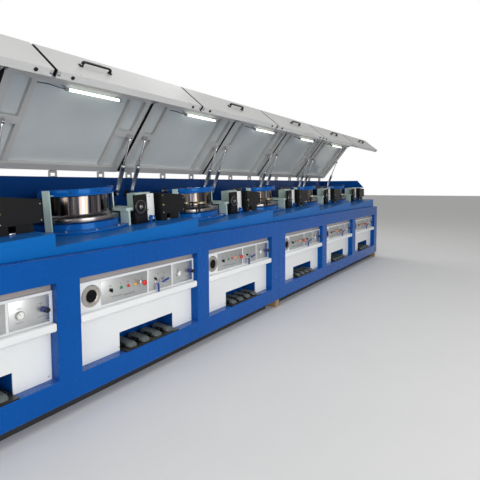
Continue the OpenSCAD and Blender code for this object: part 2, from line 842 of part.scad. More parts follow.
module lid(i) {
    left = bay_left(i) + lid_gap;
    len = bay_pitch - 2 * lid_gap;
    inner = [[lid_rear_y, lid_top_z - lid_skin],
        side_step(lid_path[0], lid_path[1], lid_path[2], lid_skin),
        side_step(lid_path[1], lid_path[2], lid_path[3], lid_skin),
        [lip_inset + lid_skin, lip_bottom_z]];
    frame_in = [[lid_bend_y + 100, lid_inner_z],
        side_step(lid_path[1], lid_path[2], lid_path[3], lid_frame_h),
        [lip_inset + lid_frame_h, lip_bottom_z]];
    frame_z = lid_inner_z;
    frame_h = lid_frame_h - over;
    plate_w = 78;
    plate_y = hinge_y - strut_head_y - plate_w / 2;
    color(lid_white) lid_swing() {
        for (x = hinge_shift) difference() {
            union() {
                block(bay_mid(i) + x - knuckle_len / 2, lid_rear_y - over, hinge_z - 11,
                    [knuckle_len, hinge_y - lid_rear_y + over, 22]);
                translate([bay_mid(i) + x - knuckle_len / 2, front + hinge_y, hinge_z])
                    rotate([0, 90, 0]) cylinder(r = knuckle_r, h = knuckle_len);
            }
            translate([bay_mid(i) + x - knuckle_len, front + hinge_y, hinge_z])
                rotate([0, 90, 0])
                    cylinder(r = hinge_pin_r + hinge_pin_clear, h = 2 * knuckle_len);
        }
        along_line(left, len)
            polygon(concat(lid_path, [inner[3], inner[2], inner[1], inner[0]]));
        block(left, lid_rear_y - rail_w, frame_z, [len, rail_w, frame_h]);
        block(left, lid_bend_y + 10, frame_z, [len, 90, frame_h]);
        block(left, lip_inset + over, lip_bottom_z, [len, flange_w - over, flange_h]);
        for (x = [left, left + len - rail_w]) {
            block(x, lid_bend_y + 20, frame_z, [rail_w, lid_rear_y - lid_bend_y - 30, frame_h]);
            along_line(x + (x == left ? 0 : rail_w - lid_skin), lid_skin)
                polygon([lid_path[1], lid_path[2], lid_path[3], frame_in[2], frame_in[1],
                    frame_in[0], [lid_bend_y + 100, lid_top_z]]);
        }
        for (x = [bay_left(i) + rib_x - rib_w / 2, bay_left(i) + bay_pitch - rib_x - rib_w / 2])
            block(x, lid_bend_y + 20, frame_z + 5,
                [rib_w, lid_rear_y - lid_bend_y - 30, frame_h - 5]);
        for (x = [left + 10, bay_left(i) + bay_pitch - rib_x])
            block(x, plate_y, frame_z + 3, [rib_x - lid_gap - 10, plate_w, 12]);
        for (p = strut_places(i)) {
            ear_x = p[0] + p[1] * (eye_w / 2 + ear_clear + ear_t / 2) - ear_t / 2;
            block(ear_x, hinge_y - strut_head_y - 20, hinge_z - strut_head_z - 16,
                [ear_t, 40, frame_z - hinge_z + strut_head_z + 20]);
        }
    }
}

// Distance of each bay's handle from the middle of its lid: the first two sit off centre
handle_shift = [-346, -346, 0, 0, 0, 0];

module lid_fittings(i) {
    grip_len = 250;
    grip_out = 45;
    grip_t = 14;
    grip_h = 28;
    grip_z = (lip_top_z + lip_bottom_z) / 2;
    foot = 22;
    tube_r = 14;
    tube_z = lid_inner_z - tube_r - 8;
    tube_x = bay_left(i) + lamp_x;
    clip_in = 20;
    clip_size = [12, 16];
    buffer_in = 130;
    buffer_r = 13;
    buffer_h = 8;
    color(black) lid_swing() {
        gx = bay_mid(i) + handle_shift[i] - grip_len / 2;
        for (x = [gx, gx + grip_len - foot])
            block(x, lip_inset - grip_out, grip_z - grip_h / 2,
                [foot, grip_out - seat, grip_h]);
        block(gx, lip_inset - grip_out, grip_z - grip_h / 2, [grip_len, grip_t, grip_h]);
        translate([tube_x, front + lamp_y, tube_z]) rotate([0, 90, 0])
            cylinder(r = tube_r, h = lamp_len);
        for (x = [tube_x + clip_in, tube_x + lamp_len - clip_in - clip_size[0]])
            block(x, lamp_y - clip_size[1] / 2, tube_z,
                [clip_size[0], clip_size[1], lid_top_z - lid_skin - seat - tube_z]);
        for (x = [bay_left(i) + buffer_in, bay_left(i) + bay_pitch - buffer_in])
            translate([x, front + lip_inset + flange_w / 2, lip_bottom_z - buffer_h])
                cylinder(r = buffer_r, h = buffer_h - seat);
    }
}

module drum_1() { drum(0); }
module drum_2() { drum(1); }
module drum_3() { drum(2); }
module drum_4() { drum(3); }
module drum_5() { drum(4); }
module drum_6() { drum(5); }

bed_left();
bed_right();
tables();
rear_walls();
end_guards();
base_skids();
packing_blocks();
control_panels();
instrument_plates();
panel_controls();
vent_rings();
ledges();
kick_panels();
pedal_plates();
foot_pedals();
rear_panels();
drum_bases();
drum_hoods();
hood_posts();
die_stands();
soap_boxes();
guide_discs();
guide_pulleys();
hinge_brackets();
strut_brackets();
for (i = [0:bays - 1]) {
    lid(i);
    lid_fittings(i);
    strut_cylinders(i);
    strut_rods(i);
    drum(i);
}
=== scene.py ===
# %% [markdown]
# # A straight-line wire drawing machine
#
# The real object is a long blue housing with a window of controls in each bay. Each bay's table
# leans a little towards the outlet, so the table steps down from bay to bay, and carries a chromed
# drum with a die stand and a soap box on its inlet side, under lids that are held open by struts.
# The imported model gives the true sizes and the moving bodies, so this lesson loads it first and
# then dresses it: every new surface is worked out with numpy in the model's own frame, in metres,
# and is seated on the piece that carries it.

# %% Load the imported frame
import json
import math

import bmesh
import bpy
import numpy as np
from mathutils import Matrix, Vector

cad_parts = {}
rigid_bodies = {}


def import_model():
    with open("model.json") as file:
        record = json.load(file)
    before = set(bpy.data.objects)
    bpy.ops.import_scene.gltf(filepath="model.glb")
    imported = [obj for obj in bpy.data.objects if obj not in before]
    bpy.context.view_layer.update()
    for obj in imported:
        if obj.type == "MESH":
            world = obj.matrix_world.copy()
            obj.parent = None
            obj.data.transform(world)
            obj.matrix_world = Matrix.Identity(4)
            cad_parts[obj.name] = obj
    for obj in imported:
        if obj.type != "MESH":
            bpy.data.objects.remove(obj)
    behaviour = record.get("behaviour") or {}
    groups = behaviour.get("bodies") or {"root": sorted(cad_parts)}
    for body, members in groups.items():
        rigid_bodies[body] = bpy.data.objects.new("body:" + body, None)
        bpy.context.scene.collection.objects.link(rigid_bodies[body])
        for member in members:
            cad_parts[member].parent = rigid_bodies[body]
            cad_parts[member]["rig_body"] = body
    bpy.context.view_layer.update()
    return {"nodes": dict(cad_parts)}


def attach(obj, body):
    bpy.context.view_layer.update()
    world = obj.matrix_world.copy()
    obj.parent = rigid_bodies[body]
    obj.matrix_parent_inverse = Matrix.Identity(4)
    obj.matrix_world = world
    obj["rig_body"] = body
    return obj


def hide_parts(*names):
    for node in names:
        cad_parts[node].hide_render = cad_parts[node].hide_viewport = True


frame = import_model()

nodes = frame["nodes"]

# %% [markdown]
# ## Driving sizes
#
# A dressed piece only looks right if it sits exactly on its solid, so the few sizes that drive
# the model are named again here, in metres. Depth is counted from the front face of the beds,
# as a fitter would measure it, and `front` turns a depth into the frame's Y.

# %% Driving sizes of the machine
bays = 6
bays_per_bed = 3
bay_pitch = 1.514
bed_length = bays_per_bed * bay_pitch
line_length = 2 * bed_length
front = -0.650
bed_depth = 1.300
deck_axis = 1.187
drum_lean = math.radians(3.5)
drum_x, drum_depth, drum_rise = 0.670, 0.800, 0.079
window_w = 1.273
post_w = 0.178
sill = 0.265
window_head = 0.923
recess = 0.090
ledge_low = 0.604
ledge_high = 0.661
header_high = 0.051
panel_depth = 0.050
wall_depth = 1.200

bay_left = np.array([-line_length / 2 + i * bay_pitch for i in range(bays)])
bay_mid = bay_left + bay_pitch / 2
bed_mid = np.array([-line_length / 2 + (i // bays_per_bed + 0.5) * bed_length for i in range(bays)])
window_left = bed_mid + (np.arange(bays) % bays_per_bed - 1) * (window_w + post_w) - window_w / 2
print("bays start at", bay_left.round(3))

# %% [markdown]
# ## The camera first
#
# The photograph was taken from head height beside the near end, looking along the line. Its
# place was solved from the straight edges of the housing. A camera matrix holds the three
# directions right, up and back as its columns, so they are worked out here from yaw, pitch and
# roll, and the lens and the shift come from the focal length and the optical centre in pixels.

# %% Camera of the photograph
photo_px = 480
focal_px = 419.87
optical_centre_v = 213.5
camera_place = Vector((-4.688, -3.1166, 1.5506))
yaw, pitch, roll = (math.radians(a) for a in (33.06, 3.80, 0.293))


def camera_matrix():
    """Right, up and back from yaw, pitch and roll: forward is (cos y cos p, sin y cos p, -sin p)."""
    forward = Vector((math.cos(yaw) * math.cos(pitch), math.sin(yaw) * math.cos(pitch), -math.sin(pitch)))
    level = Vector((math.sin(yaw), -math.cos(yaw), 0))
    down = forward.cross(level)
    right = math.cos(roll) * level + math.sin(roll) * down
    up = math.sin(roll) * level - math.cos(roll) * down
    return Matrix((right, up, -forward)).transposed().to_4x4()


camera_data = bpy.data.cameras.new("photo_camera")
camera_data.sensor_width = 36.0
camera_data.lens = focal_px / photo_px * camera_data.sensor_width
camera_data.shift_y = -(photo_px / 2 - optical_centre_v) / photo_px
camera_data.clip_start = 0.05
camera_data.clip_end = 300
camera = bpy.data.objects.new("photo_camera", camera_data)
camera.matrix_world = Matrix.Translation(camera_place) @ camera_matrix()
bpy.context.scene.collection.objects.link(camera)
bpy.context.scene.camera = camera
print("lens", round(camera_data.lens, 2), "mm")

# %% [markdown]
# ## Floor, world and lamps
#
# A pale floor and a white sky show the machine plainly. The sky is white to the camera through
# Light Path and a softer grey to everything else, so the white background adds no light and no
# glare. Large area lamps model the soft light of a bright hall.

# %% Floor and sky
scene = bpy.context.scene
scene.view_settings.view_transform = "Standard"


def make_world(sky_light=0.42):
    """The camera sees white; surfaces and reflections get a grey sky."""
    world = bpy.data.worlds.new("hall")
    scene.world = world
    world.use_nodes = True
    tree = world.node_tree
    path = tree.nodes.new("ShaderNodeLightPath")
    strength = tree.nodes.new("ShaderNodeMapRange")
    strength.inputs["To Min"].default_value = sky_light
    strength.inputs["To Max"].default_value = 1.0
    tree.links.new(path.outputs["Is Camera Ray"], strength.inputs["Value"])
    tree.links.new(strength.outputs[0], tree.nodes["Background"].inputs["Strength"])
    tree.nodes["Background"].inputs["Color"].default_value = (1, 1, 1, 1)


def make_lamp(name, place, target, size, power):
    """A square area lamp at place that faces target."""
    data = bpy.data.lights.new(name, "AREA")
    data.size = size
    data.energy = power
    lamp = bpy.data.objects.new(name, data)
    lamp.location = place
    lamp.rotation_euler = (Vector(target) - Vector(place)).to_track_quat("-Z", "Y").to_euler()
    scene.collection.objects.link(lamp)


make_world()
make_lamp("window_side", (-3.0, -8.5, 2.6), (0, 0, 1.6), 5.0, 330)
make_lamp("far_side", (5.0, 6.5, 6.5), (0, 0, 1.0), 6.0, 260)
make_lamp("roof", (-1.0, -1.0, 8.0), (0, 0, 1.0), 6.0, 160)
make_lamp("near_end", (-10.0, -3.5, 3.0), (-2, 0, 1.2), 4.0, 110)

# %% [markdown]
# ## Surfaces from formulas
#
# All new pieces come from one idea: a grid of points with two parameters, one along the piece
# and one round it. `loft` skins such a grid and closes its ends. A turned part, a tube along a
# path and a block with rounded edges differ only in how their rings are worked out, so each has
# a short function that computes the rings as whole arrays.

# %% Loft, turned forms and rounded blocks
def loft(rings):
    """Skins rings[i, j]: each point is joined to its neighbours i + 1 and j + 1; flat ends close it."""
    rows, steps = rings.shape[:2]
    i, j = np.meshgrid(np.arange(rows - 1), np.arange(steps), indexing="ij")
    k = (j + 1) % steps
    quads = np.stack([i * steps + j, i * steps + k, (i + 1) * steps + k, (i + 1) * steps + j], -1)
    caps = [list(range(steps))[::-1], list(range((rows - 1) * steps, rows * steps))]
    return rings.reshape(-1, 3), quads.reshape(-1, 4).tolist() + caps


def turned(profile, place=(0, 0, 0), axis=(0, 0, 1), steps=32):
    """A turned form: x = r cos t, y = r sin t, z = h for each (r, h), laid along axis at place."""
    r, h = np.array(profile, float).T
    t = np.linspace(0, 2 * np.pi, steps, endpoint=False)
    rings = np.stack([np.outer(r, np.cos(t)), np.outer(r, np.sin(t)), np.outer(h, np.ones(steps))], -1)
    turn = np.array(Vector((0, 0, 1)).rotation_difference(Vector(axis)).to_matrix())
    return loft(rings @ turn.T + np.array(place))


def block(low, high, edge=0.003, arcs=2):
    """A block with round edges: at arc angle a the outline is drawn in by edge (1 - sin a) and
    raised by edge (1 - cos a), and its corners are quarter circles about the same four centres."""
    low, high = np.array(low, float), np.array(high, float)
    edge = min(edge, 0.49 * (high - low).min())
    centre, half = (low + high) / 2, (high - low) / 2
    a = np.linspace(0, np.pi / 2, arcs + 1)
    drawn_in = edge * (1 - np.sin(a)) + 1e-5
    level = low[2] + edge * (1 - np.cos(a))
    t = np.concatenate([np.linspace(q, q + np.pi / 2, arcs + 1) for q in np.arange(4) * np.pi / 2])
    corner = np.repeat([[1, 1], [-1, 1], [-1, -1], [1, -1]], arcs + 1, axis=0)
    radius = np.concatenate([edge - drawn_in, (edge - drawn_in)[::-1]])[:, None]
    z = np.concatenate([level, (low[2] + high[2] - level)[::-1]])
    x = centre[0] + corner[:, 0] * (half[0] - edge) + radius * np.cos(t)
    y = centre[1] + corner[:, 1] * (half[1] - edge) + radius * np.sin(t)
    return loft(np.stack([x, y, np.repeat(z[:, None], len(t), 1)], -1))


def oval(w, h, steps=12):
    """A superellipse outline |2x/w|^4 + |2y/h|^4 = 1, which reads as a bar with soft corners."""
    t = np.linspace(0, 2 * np.pi, steps, endpoint=False) + np.pi / steps
    c, s = np.cos(t), np.sin(t)
    return np.stack([w / 2 * np.sign(c) * abs(c) ** 0.5, h / 2 * np.sign(s) * abs(s) ** 0.5], -1)


def soft_rectangle(w, h, edge, arcs=2):
    """The outline of a w by h rectangle with quarter-circle corners, as rows of (side, up)."""
    t = np.concatenate([np.linspace(q, q + np.pi / 2, arcs + 1) for q in np.arange(4) * np.pi / 2])
    corner = np.repeat([[1, 1], [-1, 1], [-1, -1], [1, -1]], arcs + 1, axis=0)
    return corner * (np.array([w, h]) / 2 - edge) + edge * np.stack([np.cos(t), np.sin(t)], -1)


def rounded_path(corners, radius, steps=5):
    """A path of straight runs whose corners are quadratic curves that start radius before each corner."""
    p = np.array(corners, float)
    out = [p[0]]
    s = np.linspace(0, 1, steps)[:, None]
    for a, b, c in zip(p[:-2], p[1:-1], p[2:]):
        u = b - radius * (b - a) / np.linalg.norm(b - a)
        v = b + radius * (c - b) / np.linalg.norm(c - b)
        out += list((1 - s) ** 2 * u + 2 * s * (1 - s) * b + s ** 2 * v)
    return np.array(out + [p[-1]])


def swept(path, outline, up=(1, 0, 0)):
    """Carries an outline along a path: point = path + a side + b up, with side = direction x up."""
    path = np.array(path, float)
    along = np.gradient(path, axis=0)
    along /= np.linalg.norm(along, axis=1)[:, None]
    side = np.cross(along, up)
    side /= np.linalg.norm(side, axis=1)[:, None]
    over = np.cross(side, along)
    rings = path[:, None] + outline[:, :1] * side[:, None] + outline[:, 1:] * over[:, None]
    return loft(rings)


def moved(shape, by):
    """The same shape, shifted by a vector."""
    return shape[0] + np.array(by, float), shape[1]


def on_deck(shape, i):
    """Lays a shape on the leaning table of bay i, where x counts from the drum's axis, y from the
    front face and z from the table: x' = x cos a - z sin a and z' = x sin a + z cos a."""
    points, faces = shape
    c, s = math.cos(drum_lean), math.sin(drum_lean)
    x = c * points[:, 0] - s * points[:, 2] + bay_left[i] + drum_x
    z = s * points[:, 0] + c * points[:, 2] + deck_axis
    return np.stack([x, points[:, 1] + front, z], -1), faces


def on_drum(shape, i):
    """Lays a shape drawn round a drum's axis, with height 0 at the drum's underside, on bay i."""
    return on_deck(moved(shape, (0, drum_depth, drum_rise)), i)


print("a rounded block has", len(block((0, 0, 0), (1, 1, 1))[1]), "faces")

# %% [markdown]
# ## From shapes to pieces
#
# A piece is one mesh that holds all the like parts of one moving body. Doubled points are
# merged first and the faces are then turned outwards, because a rotated or mirrored grid can
# come out inside out. Every piece rides on its body, names its finish, and says which CAD node
# it stands for.

# %% Make a piece, soften a CAD node
def settle(mesh, sharp):
    """Merges doubled points, turns faces outwards and marks edges sharper than the angle."""
    work = bmesh.new()
    work.from_mesh(mesh)
    bmesh.ops.remove_doubles(work, verts=work.verts, dist=2e-6)
    bmesh.ops.recalc_face_normals(work, faces=work.faces)
    work.to_mesh(mesh)
    work.free()
    mesh.polygons.foreach_set("use_smooth", np.ones(len(mesh.polygons), bool))
    mesh.set_sharp_from_angle(angle=math.radians(sharp))


def make_piece(name, shapes, body, finish, stands_for=(), sharp=38):
    """One object from many shapes; its place is in its mesh, and it rides on a body."""
    starts = np.cumsum([0] + [len(points) for points, _ in shapes])
    points = np.concatenate([points for points, _ in shapes])
    faces = [[a + start for a in face] for start, (_, rows) in zip(starts, shapes) for face in rows]
    mesh = bpy.data.meshes.new(name)
    mesh.from_pydata(points.tolist(), [], faces)
    settle(mesh, sharp)
    mesh.materials.append(finish)
    piece = bpy.data.objects.new(name, mesh)
    scene.collection.objects.link(piece)
    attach(piece, body)
    if stands_for:
        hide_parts(*stands_for)
    return piece


def soften(node, width, finish, name=None, arcs=2):
    """A merged copy of a CAD node whose sharp edges are rounded by a live Bevel, as folded
    and welded sheet has no knife edges. The node itself stays for collision."""
    source = nodes[node]
    mesh = source.data.copy()
    work = bmesh.new()
    work.from_mesh(mesh)
    bmesh.ops.remove_doubles(work, verts=work.verts, dist=1e-5)
    bmesh.ops.dissolve_limit(work, angle_limit=0.01, verts=work.verts, edges=work.edges)
    work.to_mesh(mesh)
    work.free()
    if "custom_normal" in mesh.attributes:
        mesh.attributes.remove(mesh.attributes["custom_normal"])
    mesh.polygons.foreach_set("use_smooth", np.ones(len(mesh.polygons), bool))
    mesh.set_sharp_from_angle(angle=math.radians(35))
    mesh.materials.clear()
    mesh.materials.append(finish)
    piece = bpy.data.objects.new(name or node + "_finish", mesh)
    scene.collection.objects.link(piece)
    bevel = piece.modifiers.new("rounded edges", "BEVEL")
    bevel.width = width
    bevel.segments = arcs
    bevel.limit_method = "ANGLE"
    bevel.angle_limit = math.radians(35)
    bevel.harden_normals = False
    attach(piece, source["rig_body"])
    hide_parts(node)
    return piece


# %% [markdown]
# ## Finishes
#
# Machine paint is never one flat colour: the spray leaves a faint orange peel, the shade drifts
# by a few percent over a metre, and dust settles on what faces up. Those effects are shared, so
# they are node groups that put out a colour, a roughness and a height. The shader itself stays
# in each material, with its own colour and gloss.

# %% Node groups for paint and for ground metal
def new_group(name, inputs, outputs):
    """An empty shader node group with named sockets; returns the tree, its input and output nodes."""
    tree = bpy.data.node_groups.new(name, "ShaderNodeTree")
    for socket, kind, value in inputs:
        made = tree.interface.new_socket(socket, in_out="INPUT", socket_type=kind)
        made.default_value = value
    for socket, kind in outputs:
        tree.interface.new_socket(socket, in_out="OUTPUT", socket_type=kind)
    return tree, tree.nodes.new("NodeGroupInput"), tree.nodes.new("NodeGroupOutput")


def add(tree, kind, inputs=None, **settings):
    """Adds a node, sets its properties, and links or sets its inputs by name or number."""
    node = tree.nodes.new(kind)
    for key, value in settings.items():
        setattr(node, key, value)
    for key, value in (inputs or {}).items():
        if isinstance(value, bpy.types.NodeSocket):
            tree.links.new(value, node.inputs[key])
        else:
            node.inputs[key].default_value = value
    return node


COLOUR, NUMBER, ARROW = "NodeSocketColor", "NodeSocketFloat", "NodeSocketVector"


def make_paint_group():
    """Colour drifts with slow noise, dust gathers where the surface faces up, peel is fine noise."""
    tree, given, result = new_group(
        "sprayed_paint",
        [("Colour", COLOUR, (0.5, 0.5, 0.5, 1)), ("Drift", NUMBER, 0.08), ("Roughness", NUMBER, 0.3),
         ("Dust", NUMBER, 0.2), ("Dust Colour", COLOUR, (0.55, 0.55, 0.52, 1)),
         ("Peel Scale", NUMBER, 260.0)],
        [("Colour", COLOUR), ("Roughness", NUMBER), ("Height", NUMBER)],
    )
    place = add(tree, "ShaderNodeTexCoord").outputs["Object"]
    slow = add(tree, "ShaderNodeTexNoise", {"Vector": place, "Scale": 1.7, "Detail": 3.0})
    shade = add(tree, "ShaderNodeMapRange", {"Value": slow.outputs["Fac"], "From Min": 0.3, "From Max": 0.7,
                                             "To Min": -1.0, "To Max": 1.0})
    swing = add(tree, "ShaderNodeMath", {0: shade.outputs[0], 1: given.outputs["Drift"], 2: 1.0},
                operation="MULTIPLY_ADD")
    drifted = add(tree, "ShaderNodeVectorMath", {0: given.outputs["Colour"], "Scale": swing.outputs[0]},
                  operation="SCALE")
    facing = add(tree, "ShaderNodeSeparateXYZ", {0: add(tree, "ShaderNodeNewGeometry").outputs["Normal"]})
    flat = add(tree, "ShaderNodeMapRange", {"Value": facing.outputs["Z"], "From Min": 0.75,
                                            "From Max": 1.0})
    patches = add(tree, "ShaderNodeTexNoise", {"Vector": place, "Scale": 9.0, "Detail": 6.0,
                                               "Roughness": 0.65})
    patch = add(tree, "ShaderNodeMapRange", {"Value": patches.outputs["Fac"], "From Min": 0.35,
                                             "From Max": 0.75})
    lying = add(tree, "ShaderNodeMath", {0: flat.outputs[0], 1: patch.outputs[0]}, operation="MULTIPLY")
    dusty = add(tree, "ShaderNodeMath", {0: lying.outputs[0], 1: given.outputs["Dust"]},
                operation="MULTIPLY")
    mixed = add(tree, "ShaderNodeMix", {0: dusty.outputs[0], 6: drifted.outputs[0],
                                        7: given.outputs["Dust Colour"]}, data_type="RGBA")
    base = given.outputs["Roughness"]
    uneven = add(tree, "ShaderNodeMath", {0: patches.outputs["Fac"], 1: 0.16, 2: base},
                 operation="MULTIPLY_ADD")
    rough = add(tree, "ShaderNodeMath", {0: dusty.outputs[0], 1: 0.5, 2: uneven.outputs[0]},
                operation="MULTIPLY_ADD")
    lowered = add(tree, "ShaderNodeMath", {0: rough.outputs[0], 1: 0.08}, operation="SUBTRACT",
                  use_clamp=True)
    peel = add(tree, "ShaderNodeTexNoise", {"Vector": place, "Scale": given.outputs["Peel Scale"],
                                            "Detail": 1.0})
    tree.links.new(mixed.outputs[2], result.inputs["Colour"])
    tree.links.new(lowered.outputs[0], result.inputs["Roughness"])
    tree.links.new(peel.outputs["Fac"], result.inputs["Height"])
    return tree


def make_metal_group():
    """Grinding marks are noise squeezed across the grain; the stretch says which way they run."""
    tree, given, result = new_group(
        "ground_metal",
        [("Colour", COLOUR, (0.7, 0.7, 0.7, 1)), ("Stretch", ARROW, (4, 300, 300)),
         ("Lean", ARROW, (0, 0, 0)), ("Roughness", NUMBER, 0.25), ("Spread", NUMBER, 0.15)],
        [("Colour", COLOUR), ("Roughness", NUMBER), ("Height", NUMBER)],
    )
    place = add(tree, "ShaderNodeTexCoord").outputs["Object"]
    level = add(tree, "ShaderNodeVectorRotate", {"Vector": place, "Rotation": given.outputs["Lean"]},
                rotation_type="EULER_XYZ")
    drawn = add(tree, "ShaderNodeVectorMath", {0: level.outputs[0], 1: given.outputs["Stretch"]},
                operation="MULTIPLY")
    marks = add(tree, "ShaderNodeTexNoise", {"Vector": drawn.outputs[0], "Scale": 1.0, "Detail": 4.0})
    stains = add(tree, "ShaderNodeTexNoise", {"Vector": place, "Scale": 6.0, "Detail": 4.0})
    both = add(tree, "ShaderNodeMath", {0: marks.outputs["Fac"], 1: stains.outputs["Fac"]}, operation="ADD")
    centred = add(tree, "ShaderNodeMath", {0: both.outputs[0], 1: 1.0}, operation="SUBTRACT")
    spread, base = given.outputs["Spread"], given.outputs["Roughness"]
    rough = add(tree, "ShaderNodeMath", {0: centred.outputs[0], 1: spread, 2: base},
                operation="MULTIPLY_ADD", use_clamp=True)
    shade = add(tree, "ShaderNodeMath", {0: centred.outputs[0], 1: -0.22, 2: 1.0}, operation="MULTIPLY_ADD")
    tinted = add(tree, "ShaderNodeVectorMath", {0: given.outputs["Colour"], "Scale": shade.outputs[0]},
                 operation="SCALE")
    tree.links.new(tinted.outputs[0], result.inputs["Colour"])
    tree.links.new(rough.outputs[0], result.inputs["Roughness"])
    tree.links.new(marks.outputs["Fac"], result.inputs["Height"])
    return tree


paint_group = make_paint_group()
metal_group = make_metal_group()
print("groups:", paint_group.name, metal_group.name)

# %% Materials from the groups
def finish_from(group, name, values, bump, metallic=0.0, coat=0.0, gloss=(1, 1, 1)):
    """A material whose Principled shader takes colour, roughness and bump from a group."""
    material = bpy.data.materials.new(name)
    material.use_nodes = True
    tree = material.node_tree
    shader = tree.nodes["Principled BSDF"]
    effect = add(tree, "ShaderNodeGroup", node_tree=group)
    for key, value in values.items():
        effect.inputs[key].default_value = value
    ripple = add(tree, "ShaderNodeBump", {"Height": effect.outputs["Height"], "Distance": bump,
                                          "Strength": 1.0})
    tree.links.new(effect.outputs["Colour"], shader.inputs["Base Color"])
    tree.links.new(effect.outputs["Roughness"], shader.inputs["Roughness"])
    tree.links.new(ripple.outputs[0], shader.inputs["Normal"])
    shader.inputs["Metallic"].default_value = metallic
    shader.inputs["Specular Tint"].default_value = (*gloss, 1)
    shader.inputs["Coat Weight"].default_value = coat
    shader.inputs["Coat Roughness"].default_value = 0.08
    return material


def paint(name, colour, roughness=0.3, drift=0.06, dust=0.15, bump=0.00006, coat=0.0, gloss=(1, 1, 1)):
    """Sprayed paint in one colour; a deep blue enamel also tints its own highlights through gloss."""
    values = {"Colour": (*colour, 1), "Roughness": roughness, "Drift": drift, "Dust": dust}
    return finish_from(paint_group, name, values, bump, 0.0, coat, gloss)


def metal(name, colour, roughness=0.25, stretch=(4, 300, 300), lean=0.0, spread=0.15, bump=0.00003):
    """Ground or polished metal whose marks run along the axis with the smallest stretch."""
    values = {"Colour": (*colour, 1), "Roughness": roughness, "Stretch": stretch, "Lean": (0, lean, 0),
              "Spread": spread}
    return finish_from(metal_group, name, values, bump, 1.0)


enamel = (0.08, 0.40, 1.0)
housing_blue = paint("housing_blue", (0.003, 0.075, 0.330), 0.26, gloss=enamel)
table_blue = paint("table_blue", (0.004, 0.125, 0.430), 0.34, dust=0.03, gloss=enamel)
wall_blue = paint("wall_blue", (0.003, 0.032, 0.150), 0.24, gloss=enamel)
collar_blue = paint("collar_blue", (0.003, 0.095, 0.380), 0.18, coat=0.1, gloss=enamel)
panel_white = paint("panel_white", (0.800, 0.815, 0.820), 0.32, 0.03, dust=0.08)
# The header's dark taupe is painted shade: the top of the window recess lies in shade under the window head.
header_shade_taupe = paint("header_shade_taupe", (0.340, 0.310, 0.300), 0.38, 0.05)
lid_white = paint("lid_white", (0.560, 0.560, 0.550), 0.30, 0.04, dust=0.1)
# The lining's colour is painted: its grey-green tint is painted shade and reflection of the floor, and its
# lightness is painted light from below.
lining_painted_light = paint("lining_painted_light", (0.640, 0.690, 0.700), 0.16, 0.07, dust=0.0, coat=0.5)
stand_mint = paint("stand_mint", (0.520, 0.650, 0.590), 0.28, 0.06, dust=0.2, coat=0.3)
strip_white = paint("strip_white", (0.820, 0.830, 0.820), 0.28, 0.03)
box_black = paint("box_black", (0.009, 0.009, 0.010), 0.40, 0.10, dust=0.06, bump=0.00012,
                  gloss=(0.3, 0.3, 0.3))
rubber_black = paint("rubber_black", (0.010, 0.010, 0.011), 0.62, 0.10, dust=0.04, bump=0.0002,
                     gloss=(0.4, 0.4, 0.4))
plastic_black = paint("plastic_black", (0.010, 0.010, 0.011), 0.28, 0.08, gloss=(0.5, 0.5, 0.5))
skid_black = paint("skid_black", (0.018, 0.018, 0.020), 0.6, 0.2, dust=0.3)
pedal_green = paint("pedal_green", (0.085, 0.100, 0.100), 0.40, 0.08, dust=0.15, bump=0.0003)
button_red = paint("button_red", (0.620, 0.020, 0.020), 0.25, 0.04)
button_green = paint("button_green", (0.010, 0.250, 0.090), 0.25, 0.04)
button_yellow = paint("button_yellow", (0.800, 0.430, 0.030), 0.25, 0.04)
lever_blue = paint("lever_blue", (0.010, 0.040, 0.260), 0.35, 0.05)
dial_white = paint("dial_white", (0.830, 0.830, 0.800), 0.4, 0.02)
flange_steel = metal("flange_steel", (0.30, 0.28, 0.28), 0.24, (3, 3, 500), -drum_lean, 0.2)
plate_alloy = metal("plate_alloy", (0.60, 0.61, 0.61), 0.38, (3, 300, 300), 0, 0.2)
ring_alloy = metal("ring_alloy", (0.50, 0.47, 0.43), 0.34, (40, 40, 40), 0, 0.2)
tube_alloy = metal("tube_alloy", (0.66, 0.68, 0.70), 0.30, (200, 6, 6), 0, 0.15)
rod_steel = metal("rod_steel", (0.70, 0.71, 0.73), 0.12, (200, 5, 5), 0, 0.1)
bolt_steel = metal("bolt_steel", (0.62, 0.62, 0.60), 0.24, (60, 60, 60), 0, 0.15)
brass = metal("brass", (0.72, 0.55, 0.25), 0.26, (60, 60, 60), 0, 0.15)
pulley_brass = metal("pulley_brass", (0.62, 0.56, 0.40), 0.32, (60, 60, 60), 0, 0.2)


